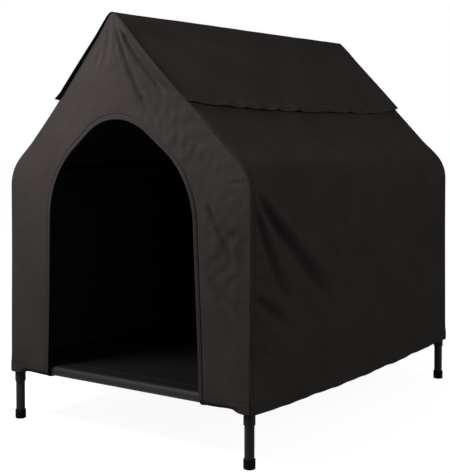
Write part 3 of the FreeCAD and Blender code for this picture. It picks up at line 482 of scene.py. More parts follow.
@dataclass(frozen=True)
class HouseShape:
    """Outer face of the cover: its section across the house and its leaning ends, in metres.

    Attributes:
        half_width: Half the distance between the legs across the doorway.
        half_length: Half the distance between the legs along the house.
        bed_height: Height of the bed tubes' axes.
        eave_height: Height at which upright and rafter axes cross.
        pitch: Slope of the roof.
        elbow_radius: Bend of the eave elbows on their axis.
        cover_offset: Distance of the cover's face from the tubes' axes.
        front_lean: How far the ridge pushes out the front gable's peak.
        rear_lean: How far it pushes out the rear gable's peak.
        lean_drop: How far below the ridge the gables start to lean.
        lean_round: How softly they start.
        front_flare: How far the front gable stands out at its foot.
        rear_flare: How far the rear gable does.
        flare_heights: Where that starts to fade and where it ends.
        slope_dip: How far the slopes sink onto the rafters.
        dip_ramp: Distance from ridge and eave over which they do.
    """

    half_width: float = 0.2975
    half_length: float = 0.4275
    bed_height: float = 0.117
    eave_height: float = 0.531
    pitch: float = math.radians(46)
    elbow_radius: float = 0.070
    cover_offset: float = 0.0125
    front_lean: float = 0.022
    rear_lean: float = 0.001
    lean_drop: float = 0.180
    lean_round: float = 0.05
    front_flare: float = 0.003
    rear_flare: float = 0.005
    flare_heights: tuple[float, float] = (0.12, 0.44)
    slope_dip: float = 0.003
    dip_ramp: float = 0.06

    @cached_property
    def hem(self) -> float:
        """Height of the hem at the corners."""
        return self.bed_height - self.cover_offset

    @cached_property
    def cover_half(self) -> float:
        """Half length over the cover, below the eaves."""
        return self.half_length + self.cover_offset

    @cached_property
    def eave_turn(self) -> float:
        """Angle from wall to roof."""
        return math.pi / 2 - self.pitch

    @cached_property
    def bend_radius(self) -> float:
        """Radius of the cloth round the eave."""
        return self.elbow_radius + self.cover_offset

    @cached_property
    def bend_x(self) -> float:
        """Distance of the eave bend's axis from the middle."""
        return self.half_width - self.elbow_radius

    @cached_property
    def bend_z(self) -> float:
        """Height of the eave bend's axis."""
        return self.eave_height - self.elbow_radius * math.tan(self.eave_turn / 2)

    @cached_property
    def ridge_z(self) -> float:
        """Height of the ridge tube's axis."""
        return self.eave_height + self.half_width * math.tan(self.pitch)

    @cached_property
    def wall_run(self) -> float:
        """Distance up the section to the eave bend."""
        return self.bend_z - self.hem

    @cached_property
    def seam_run(self) -> float:
        """Distance up the section to the eave seam, in the middle of the bend."""
        return self.wall_run + self.bend_radius * self.eave_turn / 2

    @cached_property
    def ridge_run(self) -> float:
        """Distance up the section to where the slope meets the rounded ridge."""
        return self.wall_run + self.bend_radius * self.eave_turn + self.slope_length

    @cached_property
    def slope_length(self) -> float:
        """Length of the straight slope between the eave bend and the rounded ridge."""
        return (self.bend_x + self.elbow_radius * math.cos(self.eave_turn)) / math.cos(self.pitch)

    def dip(self, below: Array) -> Array:
        """How far the slope's cloth sinks onto the rafters, at a distance below the ridge."""
        above = self.slope_length - below
        return self.slope_dip * ramp(below, 0.0, self.dip_ramp) * ramp(above, 0.0, self.dip_ramp)

    @cached_property
    def top_run(self) -> float:
        """Distance up the section to the top of the ridge."""
        return self.ridge_run + self.cover_offset * self.pitch

    def section(self, run: Array) -> tuple[Array, Array, Array, Array]:
        """Right half of the section.

        Args:
            run: Distance up the cloth from the hem.

        Returns:
            X, Z, and the outward normal's X and Z.
        """
        bend_end = self.wall_run + self.bend_radius * self.eave_turn
        bend = np.clip((run - self.wall_run) / self.bend_radius, 0.0, self.eave_turn)
        slope = np.clip(run - bend_end, 0.0, self.ridge_run - bend_end)
        crest = np.clip((run - self.ridge_run) / self.cover_offset, 0.0, self.pitch)
        angle = bend + crest
        x = self.bend_x + self.bend_radius * np.cos(bend) - slope * math.cos(self.pitch)
        z = self.bend_z + np.minimum(run - self.wall_run, 0.0) + self.bend_radius * np.sin(bend)
        x = x + self.cover_offset * (np.cos(angle) - np.cos(bend))
        z = z + slope * math.sin(self.pitch)
        z = z + self.cover_offset * (np.sin(angle) - np.sin(bend))
        sink = self.dip(self.ridge_run - run)
        x = x - sink * np.cos(angle)
        z = z - sink * np.sin(angle)
        return x, z, np.cos(angle), np.sin(angle)

    def reach(self, z: Array, end: Array | float) -> Array:
        """Distance of a gable from the middle; it leans out at its peak and at its foot.

        Args:
            z: Height.
            end: Any number with the sign of Y at that end.

        Returns:
            The distance along the house.
        """
        above = z - self.ridge_z + self.lean_drop
        above = (above + np.sqrt(above * above + self.lean_round**2)) / 2
        lean = np.where(end < 0, self.front_lean, self.rear_lean)
        flare = np.where(end < 0, self.front_flare, self.rear_flare)
        flare = flare * (1 - ramp(z, *self.flare_heights))
        return self.cover_half + lean / self.lean_drop * above + flare


HOUSE = HouseShape()


@dataclass(frozen=True)
class SeamEdge:
    """Soft corner where a gable panel turns over to a wall or roof panel and is sewn to it.

    Attributes:
        radius: Radius of the corner.
        lines: Distances of the seam and of its felled edge from the corner's crest.
        groove: Depth of those two lines.
        groove_width: Their half width.
        settle: Distance over which the panel comes back to its plain place.
    """

    radius: float = 0.0044
    lines: tuple[float, float] = (0.0058, 0.0110)
    groove: float = 0.0010
    groove_width: float = 0.0012
    settle: float = 0.03

    def shape(self, edge: Array) -> Pair:
        """How a panel turns in towards the seam.

        Args:
            edge: Distance from the corner's crest along the panel.

        Returns:
            How far the panel sinks and how far it moves towards the end.
        """
        quarter = self.radius * math.pi / 4
        turn = np.clip((quarter - edge) / self.radius, 0.0, math.pi / 4)
        sink = self.radius * (1 - np.cos(turn))
        near = edge - self.radius + self.radius * np.sin(turn)
        far = (quarter - self.radius) * (1 - ramp(edge, quarter, self.settle))
        return sink, np.where(edge < quarter, near, far)

    def sewn(self, edge: Array) -> Array:
        """Depth of the seam's two lines.

        Args:
            edge: Distance from the crest.

        Returns:
            The depth.
        """
        seam, fell = self.lines
        both = bell(edge, seam, self.groove_width) + 0.6 * bell(edge, fell, self.groove_width)
        return self.groove * both

    @cached_property
    def corner_inset(self) -> float:
        """How far the crest lies inside the sharp corner, along each panel's normal."""
        return self.radius * (1 - math.cos(math.pi / 4))


SEAM = SeamEdge()


@dataclass(frozen=True)
class Crease:
    """A soft fold along a curved line of a panel's flat coordinates.

    Attributes:
        start: Where it starts.
        bend: Point that its line curves towards.
        finish: Where it ends.
        widths: Half widths at start and end.
        depth: Depth of its valley, or minus the height of a ridge.
        lip: Share of the depth that the cloth beside it rises.
        fades: Shares of its length over which it starts and ends.
    """

    start: tuple[float, float]
    bend: tuple[float, float]
    finish: tuple[float, float]
    widths: tuple[float, float]
    depth: float
    lip: float = 0.45
    fades: tuple[float, float] = (0.18, 0.45)

    def line(self) -> Array:
        """Points along the fold.

        Returns:
            Points in flat coordinates.
        """
        share = np.linspace(0.0, 1.0, 25)[:, None]
        first, middle, last = (np.array(p) for p in (self.start, self.bend, self.finish))
        return (1 - share) ** 2 * first + 2 * share * (1 - share) * middle + share**2 * last

    def lift(self, first: Array, second: Array) -> Array:
        """How far the fold raises the cloth.

        Args:
            first: First flat coordinate.
            second: Second flat coordinate.

        Returns:
            Height above the plain cloth.
        """
        points = np.stack([first.ravel(), second.ravel()], axis=1)
        line = self.line()
        runs = np.diff(line, axis=0)
        nearest = np.full(len(points), np.inf)
        hand = np.zeros(len(points))
        share = np.zeros(len(points))
        for index, (head, run) in enumerate(zip(line, runs)):
            along = np.clip((points - head) @ run / (run @ run), 0.0, 1.0)
            gap = points - head - along[:, None] * run
            distance = np.hypot(gap[:, 0], gap[:, 1])
            closer = distance < nearest
            nearest = np.where(closer, distance, nearest)
            hand = np.where(closer, np.sign(run[0] * gap[:, 1] - run[1] * gap[:, 0]), hand)
            share = np.where(closer, (index + along) / len(runs), share)
        width = self.widths[0] + (self.widths[1] - self.widths[0]) * share
        offset = hand * nearest / width
        sides = bell(offset, 1.8, 1.1) + 0.55 * bell(offset, -1.8, 1.1)
        fade = ramp(share, 0.0, self.fades[0]) * ramp(1 - share, 0.0, self.fades[1])
        return (self.depth * fade * (self.lip * sides - bell(offset, 0, 1))).reshape(first.shape)


def wall_crease(
    start: tuple[float, float],
    bend: tuple[float, float],
    finish: tuple[float, float],
    widths: tuple[float, float],
    depth: float,
    fades: tuple[float, float] = Crease.fades,
) -> Crease:
    """Fold of a wall whose points are places along the house and heights above the floor."""
    points = [(along, height - HOUSE.hem) for along, height in (start, bend, finish)]
    return Crease(*points, widths, depth, fades=fades)


@dataclass(frozen=True)
class Ripple:
    """Shallow unevenness of hung cloth: a few long waves from a fixed seed."""

    seed: int
    height: float = 0.0008
    lengths: tuple[float, float] = (0.10, 0.36)
    count: int = 9

    def lift(self, first: Array, second: Array) -> Array:
        """Height of the waves.

        Args:
            first: First flat coordinate.
            second: Second flat coordinate.

        Returns:
            Height above the plain cloth.
        """
        dice = np.random.default_rng(self.seed)
        total = np.zeros_like(first)
        for _ in range(self.count):
            angle = dice.uniform(0.0, math.pi)
            length = dice.uniform(*self.lengths)
            start = dice.uniform(0.0, 2 * math.pi)
            along = first * math.cos(angle) + second * math.sin(angle)
            total += np.sin(2 * math.pi * along / length + start)
        return self.height * total / math.sqrt(self.count)


@dataclass(frozen=True)
class Rumple(Ripple):
    """A patch of fine wrinkles round a centre, in flat coordinates."""

    centre: tuple[float, float] = (0.0, 0.0)
    reach: tuple[float, float] = (0.1, 0.1)

    def lift(self, first: Array, second: Array) -> Array:
        """Height of the wrinkles.

        Args:
            first: First flat coordinate.
            second: Second flat coordinate.

        Returns:
            Height above the plain cloth.
        """
        across, along = self.centre
        patch = bell(first, across, self.reach[0]) * bell(second, along, self.reach[1])
        return super().lift(first, second) * patch


def settle(piece: bpy.types.Object) -> bpy.types.Object:
    """Turns a piece with its modifiers into a plain mesh.

    Args:
        piece: The piece.

    Returns:
        The same piece.
    """
    graph = bpy.context.evaluated_depsgraph_get()
    mesh = bpy.data.meshes.new_from_object(piece.evaluated_get(graph))
    piece.modifiers.clear()
    piece.data = mesh
    mesh.name = piece.name
    return piece


def link(name: str, mesh: bpy.types.Mesh) -> bpy.types.Object:
    """New object for a mesh, in the scene.

    Args:
        name: Name of the object.
        mesh: Its mesh.

    Returns:
        The object.
    """
    piece = bpy.data.objects.new(name, mesh)
    bpy.context.scene.collection.objects.link(piece)
    return piece


@dataclass
class ClothSheet:
    """A sewn sheet over a grid of two coordinates; each kind gives its own surface.

    Attributes:
        node: CAD node that it stands for.
        slot: Name of its material slot; not used.
        finish: Its material.
        flat: Width and length that it was cut to; not used.
        held: How the sheet is held; not used.
        rests_on: What it lies on or hangs from; not used.
        area: Flat area of a cut that is no rectangle; not used.
        thickness: Thickness of the cloth.
        offset: Where the thickness lies: -1 inside the surface, 0 on both sides.
        thread_lift: How far the middle of the stitches lies above the cloth.
        creases: Its folds.
        ripple: Its unevenness.
    """

    node: str
    slot: str
    finish: bpy.types.Material
    flat: tuple[float, float]
    held: str
    rests_on: tuple[str, ...]
    area: float | None = None
    thickness: float = 0.0009
    offset: float = -1.0
    thread_lift: float = 0.0003
    creases: tuple[Crease | Rumple, ...] = ()
    ripple: Ripple = Ripple(1)

    @property
    def name(self) -> str:
        """Name of the piece."""
        return f"{self.node}_cloth"

    def grid(self) -> Pair:
        """Stops along the two coordinates."""
        raise NotImplementedError

    def surface(self, first: Array, second: Array) -> Pair:
        """Points and outward normals at the coordinates."""
        raise NotImplementedError

    def flat_place(self, first: Array, second: Array) -> Pair:
        """Place on the flat cloth, for the weave."""
        return first, second

    def open_cells(self, first: Array, second: Array) -> Array:
        """True where the middle of a grid cell is cut out."""
        return np.zeros(first.shape, bool)

    def stitch_lines(self) -> list[Array]:
        """Points along each row of stitches."""
        return []

    def folds(self, first: Array, second: Array) -> Array:
        """Height of all folds and waves.

        Args:
            first: First flat coordinate.
            second: Second flat coordinate.

        Returns:
            Height above the plain cloth.
        """
        total = self.ripple.lift(first, second)
        for crease in self.creases:
            total = total + crease.lift(first, second)
        return total

    def row(self, first: Array | float, second: Array | float) -> Array:
        """Line on the sheet's outer face for a row of stitches.

        Args:
            first: First grid coordinate.
            second: Second grid coordinate.

        Returns:
            Points of the line.
        """
        first, second = np.broadcast_arrays(np.asarray(first, float), np.asarray(second, float))
        points, normals = self.surface(first, second)
        return points + normals * (self.thickness * (1 + self.offset) / 2 + self.thread_lift)

    def build(self) -> bpy.types.Object:
        """Returns:
            The piece.
        """
        stops, others = self.grid()
        first, second = np.meshgrid(stops, others, indexing="ij")
        points, normals = self.surface(first, second)
        flat = np.stack(self.flat_place(first, second), axis=-1).reshape(-1, 2)
        rows, columns = first.shape
        index = np.arange(rows * columns).reshape(rows, columns)
        corners = [index[:-1, :-1], index[1:, :-1], index[1:, 1:], index[:-1, 1:]]
        faces = np.stack(corners, axis=-1)
        middles = [(a[:-1, :-1] + a[1:, 1:]) / 2 for a in (first, second)]
        faces = faces[~self.open_cells(*middles)]
        spots = points.reshape(-1, 3)
        probe = faces[len(faces) // 2]
        turn = np.cross(spots[probe[1]] - spots[probe[0]], spots[probe[2]] - spots[probe[0]])
        if turn @ normals.reshape(-1, 3)[probe[0]] < 0:
            faces = faces[:, ::-1]
        mesh = bpy.data.meshes.new(self.name)
        mesh.from_pydata(spots.tolist(), [], faces.tolist())
        layer = mesh.uv_layers.new(name="flat")
        layer.data.foreach_set("uv", flat[faces.ravel()].ravel().astype(np.float32))
        work = bmesh.new()
        work.from_mesh(mesh)
        bmesh.ops.remove_doubles(work, verts=work.verts, dist=1e-6)
        loose = [v for v in work.verts if not v.link_faces]
        bmesh.ops.delete(work, geom=loose, context="VERTS")
        work.to_mesh(mesh)
        work.free()
        mesh.shade_smooth()
        piece = link(self.name, mesh)
        piece.data.materials.append(self.finish)
        wall = piece.modifiers.new("cloth", "SOLIDIFY")
        wall.thickness = self.thickness
        wall.offset = self.offset
        settle(piece)
        self.declare(piece)
        return piece

    def declare(self, piece: bpy.types.Object) -> None:
        """Attaches the piece as its kind does, hides the CAD node that it stands for and logs its face
        count.

        Args:
            piece: The piece.
        """
        self.attach(piece)
        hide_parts(self.node)
        LOG.info("%s: %d faces", piece.name, len(piece.data.polygons))

    def attach(self, piece: bpy.types.Object) -> None:
        """Makes a piece of this sheet move with its body."""
        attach(piece, "house")


@dataclass
class ShellPanel(ClothSheet):
    """Wall or roof panel: runs up the section and along the house.

    Attributes:
        side: Side of the house.
        low: Where it starts on the section.
        high: Where it ends on the section.
        fell: Height of the felled seam allowance beside the gable seams.
        fell_edges: Where the one beside the eave seam rises and falls, from the seam.
        eave_fell: Its height, as a share.
        eave_groove: Depth and half width of the eave seam's groove.
        calm_edge: Distances from the gable seams over which folds die out.
        calm_eave: Distance from the eave seam over which they do.
        lean_start: Place along the house from which the cloth follows the leaning gables.
    """

    side: Side = Side.RIGHT
    low: float = 0.0
    high: float = HOUSE.seam_run
    fell: float = 0.0005
    fell_edges: tuple[float, float, float, float] = (0.001, 0.004, 0.0085, 0.013)
    eave_fell: float = 0.2
    eave_groove: tuple[float, float] = (0.00018, 0.0016)
    calm_edge: tuple[float, float] = (0.004, 0.016)
    calm_eave: float = 0.010
    lean_start: float = 0.30

    def surface(self, first: Array, second: Array) -> Pair:
        """Wall or roof cloth, sewn to the gables and raised by its folds.

        Args:
            first: Distance up the section.
            second: Place along the house.

        Returns:
            Points and outward normals.
        """
        x, z, across, up = HOUSE.section(first)
        half = HOUSE.reach(z, second)
        end = np.sign(second)
        lean = ramp(np.abs(second), self.lean_start, HOUSE.cover_half)
        y = second + end * (half - HOUSE.cover_half) * lean
        edge = np.maximum(half - np.abs(y), 0.0)
        sink, shift = SEAM.shape(edge)
        eave = np.abs(first - HOUSE.seam_run)
        calm = ramp(edge, *self.calm_edge) * ramp(eave, 0.0, self.calm_eave)
        groove, groove_width = self.eave_groove
        lift = self.folds(second, first) * calm + self.trim(first, edge)
        lift = lift - sink - SEAM.sewn(edge) - groove * bell(eave, 0.0, groove_width)
        z = z - self.hem_drop(first, second)
        y = y + end * shift
        hand = self.side.value
        points = np.stack([hand * (x + across * lift), y, z + up * lift], axis=-1)
        normals = np.stack([hand * across, np.zeros_like(x), up], axis=-1)
        return points, normals

    def trim(self, run: Array, edge: Array) -> Array:
        """Raised seam allowance beside the gable seams and beside the eave seam.

        Args:
            run: Distance up the section.
            edge: Distance from the gable seam.

        Returns:
            How far the cloth is raised.
        """
        seam, fell = SEAM.lines
        soft = 0.001
        side = ramp(edge, seam - soft, seam + soft) * (1 - ramp(edge, fell - soft, fell + soft))
        eave = HOUSE.seam_run - run
        fold = ramp(eave, *self.fell_edges[:2]) * (1 - ramp(eave, *self.fell_edges[2:]))
        return self.fell * np.maximum(side, self.eave_fell * fold)

    def hem_drop(self, run: Array, along: Array) -> Array:
        """How far the cloth hangs below the corners' hem."""
        return np.zeros_like(run)

    def gable_rows(self, low: float, high: float) -> list[Array]:
        """Stitch rows beside the two gable seams.

        Args:
            low: Where they start on the section.
            high: Where they end on it.

        Returns:
            Points along each row.
        """
        run = np.arange(low, high, 0.002)
        inset = HOUSE.cover_half - sum(SEAM.lines) / 2
        return [self.row(run, -inset), self.row(run, inset)]


@dataclass
class WallPanel(ShellPanel):
    """Wall panel; its hem hangs free.

    Attributes:
        hem_sag: Drop of the hem in front, halfway and behind.
        hem_fade: Height over which the drop fades.
        hem_band: Width of the turned hem.
        hem_rise: How far the hem's double cloth stands out.
        corner_flare: How far the cloth stands out over the corner connectors.
    """

    hem_sag: tuple[float, float, float] = (0.0, 0.008, 0.0)
    hem_fade: float = 0.30
    hem_band: float = 0.022
    hem_rise: float = 0.0006
    corner_flare: float = 0.0016

    def grid(self) -> Pair:
        """Stops up the wall and along the house."""
        up = stations((self.low, HOUSE.wall_run, self.high), 0.0046, 0.0012, 0.006)
        return up, stations((-HOUSE.cover_half, HOUSE.cover_half), 0.0046, 0.0008, 0.016)

    def hem_drop(self, run: Array, along: Array) -> Array:
        """Sag of the hem with a slight waviness, fading towards the eave.

        Args:
            run: Distance up the section.
            along: Place along the house.

        Returns:
            The drop.
        """
        share = along / HOUSE.cover_half
        front, middle, rear = self.hem_sag
        sag = middle * (1 - share**2) + (front * (1 - share) + rear * (1 + share)) / 2 * share**2
        wave = 0.0007 * np.sin(along * 41 + 1.2) + 0.0005 * np.sin(along * 97)
        return (sag + wave * (1 - share**4)) * (1 - ramp(run, 0.0, self.hem_fade))

    def trim(self, run: Array, edge: Array) -> Array:
        """Seam allowances, the turned hem and the flare over the corner connectors.

        Args:
            run: Distance up the section.
            edge: Distance from the gable seam.

        Returns:
            How far the cloth is raised.
        """
        hem = self.hem_rise * (1 - ramp(run, self.hem_band, self.hem_band + 0.0025))
        flare = self.corner_flare * bell(run, 0.010, 0.022) * bell(edge, 0.010, 0.045)
        return super().trim(run, edge) + hem + flare

    def stitch_lines(self) -> list[Array]:
        """Rows along the hem, the eave and the gable seams.

        Returns:
            Points along each row.
        """
        along = np.arange(-0.432, 0.432, 0.003)
        rows = [self.row(self.hem_band - 0.003, along), self.row(self.high - 0.006, along)]
        return rows + self.gable_rows(0.004, self.high - 0.004)


@dataclass
class RoofPanel(ShellPanel):
    """Roof panel with the vent window under the flap."""

    vent_half: float = 0.26
    vent_drop: float = 0.070
    vent_width: float = 0.085

    @cached_property
    def vent(self) -> tuple[float, float]:
        """Lower and upper edge of the vent window on the section."""
        top = HOUSE.ridge_run - self.vent_drop
        return top - self.vent_width, top

    def grid(self) -> Pair:
        """Stops up the slope and along the house, with stops at the window's edges.

        Returns:
            Stops in rising order for both directions.
        """
        half = HOUSE.cover_half
        up = stations((self.low, *self.vent, self.high), 0.0048, 0.0012, 0.006)
        along = stations((-half, -self.vent_half, self.vent_half, half), 0.0048, 0.0008, 0.016)
        return up, along

    def open_cells(self, first: Array, second: Array) -> Array:
        """Cells inside the vent window."""
        low, high = self.vent
        return (first > low) & (first < high) & (np.abs(second) < self.vent_half)

    def stitch_lines(self) -> list[Array]:
        """Rows round the window and along the gable seams.

        Returns:
            Points along each row.
        """
        low, high = self.vent
        along = np.arange(-self.vent_half, self.vent_half, 0.003)
        rows = [self.row(low - 0.006, along), self.row(high + 0.006, along)]
        return rows + self.gable_rows(self.low + 0.004, HOUSE.ridge_run)


@dataclass(frozen=True)
class Doorway:
    """Outline of the doorway: jamb, shoulder, a short straight run and the crown.

    Attributes:
        half_width: Half the width at the spring of the arch.
        splay: How much further apart the jambs' feet stand, on each side.
        spring: Height at which the shoulder starts.
        shoulder: Radius of the shoulder.
        straight: Length of the straight run.
        turn: Angle from the jamb to the straight run.
    """

    half_width: float = 0.1862
    splay: float = 0.0113
    spring: float = 0.4397
    shoulder: float = 0.1873
    straight: float = 0.0524
    turn: float = math.radians(51.4)

    @cached_property
    def lengths(self) -> tuple[float, float, float, float]:
        """Lengths of the four runs from the bed's height to the top."""
        jamb, crown = self.spring - HOUSE.bed_height, self.crown * (math.pi / 2 - self.turn)
        return jamb, self.shoulder * self.turn, self.straight, crown

    @cached_property
    def crown(self) -> float:
        """Radius of the crown, whose centre lies in the middle of the door.

        Returns:
            The radius.
        """
        x = self.half_width - self.shoulder * (1 - math.cos(self.turn))
        x -= self.straight * math.sin(self.turn)
        return x / math.cos(self.turn)

    @cached_property
    def stops(self) -> Array:
        """Distances of the runs' ends from the bed's height."""
        return np.concatenate([[0.0], np.cumsum(self.lengths)])

    def point(self, distance: Array) -> tuple[Array, Array, Array, Array]:
        """Right half of the outline.

        Args:
            distance: Distance along the outline from the bed's height.

        Returns:
            X, Z, and the X and Z of the direction away from the doorway.
        """
        _, jamb, shoulder, straight, _ = self.stops
        bend = np.clip((distance - jamb) / self.shoulder, 0.0, self.turn)
        run = np.clip(distance - shoulder, 0.0, self.straight)
        round_top = np.clip((distance - straight) / self.crown, 0.0, math.pi / 2 - self.turn)
        angle = bend + round_top
        below = np.clip(1 - distance / jamb, 0.0, 1.0)
        x = self.half_width + self.splay * below
        x = x - self.shoulder * (1 - np.cos(bend)) - run * math.sin(self.turn)
        z = HOUSE.bed_height + np.minimum(distance, jamb) + self.shoulder * np.sin(bend)
        x = x + self.crown * (np.cos(angle) - np.cos(bend))
        z = z + run * math.cos(self.turn) + self.crown * (np.sin(angle) - np.sin(bend))
        return x, z, np.cos(angle), np.sin(angle)

    def bulge(self, z: Array) -> Array:
        """How far the cut edge stands forward of the straight line between the corner seams."""
        return 0.0032 + 0.0058 * ramp(z, 0.16, 0.46) + 0.0035 * ramp(z, 0.54, 0.66)

    def margin(self, z: Array) -> Array:
        """Width of the panel beside the doorway, from the cut edge to the seam."""
        return 0.113 + 0.092 * ramp(z, 0.45, 0.65)


DOORWAY = Doorway()


@dataclass
class GablePanel(ClothSheet):
    """Front or rear panel, spread between an inner line and the section's outline.

    Attributes:
        end: End of the house.
        has_door: Whether the inner line is the doorway's outline.
        wrap: Length of cloth that wraps under the bed tube.
        wrap_end: X beyond which the hem hangs straight at the corners.
        sewn_depth: Depth of the groove along the outer edge of the door binding.
        sewn_line: Distance of that groove from the cut edge, and its half width.
        hang: How far the hem hangs straight at the corners, as a share of the wrap.
        door_runs: Distances up the section that face the ends of the doorway's runs.
        spine_run: Distance up the section that faces the middle of a plain gable's inner line.
        spine_rise: Heights of that line's foot, middle and top above the bed.
    """

    end: End = End.FRONT
    has_door: bool = True
    wrap: float = 0.039
    wrap_end: tuple[float, float] = (0.215, 0.292)
    sewn_depth: float = 0.0011
    sewn_line: tuple[float, float] = (0.0082, 0.0011)
    hang: float = 0.35
    door_runs: tuple[float, float, float] = (0.374, 0.60, 0.68)
    spine_run: float = 0.3905
    spine_rise: tuple[float, float, float] = (0.0, 0.30, 0.47)

    @cached_property
    def start_run(self) -> float:
        """Distance up the section to the bed tubes."""
        return HOUSE.bed_height - HOUSE.hem

    @cached_property
    def total(self) -> float:
        """Length of half the outline, with the wrap."""
        return self.wrap + HOUSE.top_run - self.start_run

    def grid(self) -> Pair:
        """Stops round the outline, left to right, and from the inner line outwards.

        Returns:
            Stops in rising order for both directions.
        """
        crest = self.total - (HOUSE.top_run - HOUSE.ridge_run)
        half = np.concatenate([
            np.linspace(0.0, self.wrap, 10, endpoint=False),
            np.arange(self.wrap, self.wrap + 0.37, 0.0046),
            np.arange(self.wrap + 0.37, crest, 0.0031),
            np.linspace(crest, self.total, 8),
        ])
        around = np.concatenate([half - self.total, (self.total - half)[::-1][1:]])
        return around, stations((0.0, 1.0), 0.021, 0.0066, 0.1188)

    def inner(self, run: Array) -> Pair:
        """Inner line: the doorway's outline, or a line up the middle.

        Args:
            run: Distance up the section.

        Returns:
            X and Z of the line.
        """
        if self.has_door:
            knots = (self.start_run, *self.door_runs, HOUSE.top_run)
            x, z, _, _ = DOORWAY.point(np.interp(run, knots, DOORWAY.stops))
            return x, z
        knots = (self.start_run, self.spine_run, HOUSE.top_run)
        rise = np.interp(run, knots, self.spine_rise)
        return np.zeros_like(rise), HOUSE.bed_height + rise

    def plane_place(self, first: Array, second: Array) -> tuple[Array, ...]:
        """Place in the gable's plane.

        Args:
            first: Place round the outline.
            second: Share of the way from the inner line to the outline.

        Returns:
            Side, X and Z on the right half, distance to the outline and to the inner line, and
            how far the doorway's edge pulls the cloth forward.
        """
        side = np.where(first > 0, 1.0, -1.0)
        rise = self.total - np.abs(first) - self.wrap
        run = self.start_run + np.maximum(rise, 0.0)
        x, z, across, up = HOUSE.section(run)
        x = x - across * SEAM.corner_inset
        z = z - up * SEAM.corner_inset
        inner_x, inner_z = self.inner(run)
        width = np.hypot(x - inner_x, z - inner_z)
        edge = (1 - second) * width
        x = inner_x + (x - inner_x) * second
        z = inner_z + (z - inner_z) * second
        forward = DOORWAY.bulge(inner_z) * (1 - second) * self.has_door
        return side, x, z, edge, second * width, forward

    def flat_place(self, first: Array, second: Array) -> Pair:
        """Place on the flat cloth.

        Args:
            first: Place round the outline.
            second: Share of the way from the inner line to the outline.

        Returns:
            Place across and up the cloth.
        """
        side, x, z, *_ = self.plane_place(first, second)
        below = np.maximum(np.abs(first) - self.total + self.wrap, 0.0)
        return side * x, z - below

    def surface(self, first: Array, second: Array) -> Pair:
        """Gable cloth with its turned-over outline and its hem round the bed tube.

        Args:
            first: Place round the outline.
            second: Share of the way from the inner line to the outline.

        Returns:
            Points and outward normals.
        """
        side, x, z, edge, inside, forward = self.plane_place(first, second)
        facing = self.end.value
        sink, _ = SEAM.shape(edge)
        below = np.maximum(np.abs(first) - self.total + self.wrap, 0.0)
        calm = ramp(edge, 0.0, 0.012)
        if self.has_door:
            calm = calm * ramp(inside, 0.004, 0.020)
            sink = sink + self.sewn_depth * bell(inside, *self.sewn_line)
        calm = calm * (1 - ramp(below, 0.0, 0.01)) * ramp(z, HOUSE.bed_height, 0.15)
        y = HOUSE.reach(z, facing) + forward - sink + self.folds(side * x, z) * calm
        turn = below / HOUSE.cover_offset
        hang = ramp(x, *self.wrap_end)
        depth = HOUSE.reach(HOUSE.bed_height, facing) - HOUSE.half_length + forward
        wrap_y = HOUSE.half_length + depth * np.cos(turn) - sink
        wrap_z = HOUSE.bed_height - HOUSE.cover_offset * np.sin(turn)
        hang_z = HOUSE.bed_height - self.hang * below
        y = np.where(below > 0, hang * y + (1 - hang) * wrap_y, y)
        z = np.where(below > 0, hang * hang_z + (1 - hang) * wrap_z, z)
        points = np.stack([side * x, facing * y, z], axis=-1)
        tilt = np.where(below > 0, (1 - hang) * turn, 0.0)
        normals = [np.zeros_like(x), facing * np.cos(tilt), -np.sin(tilt)]
        return points, np.stack(normals, axis=-1)

    def stitch_lines(self) -> list[Array]:
        """Rows along the hem strips.

        Returns:
            Points along each row.
        """
        level = self.total - self.wrap - 0.009
        share = np.linspace(0.12 if self.has_door else 0.0, 0.96, 60 if self.has_door else 160)
        return [self.row(-level, share), self.row(level, share)]


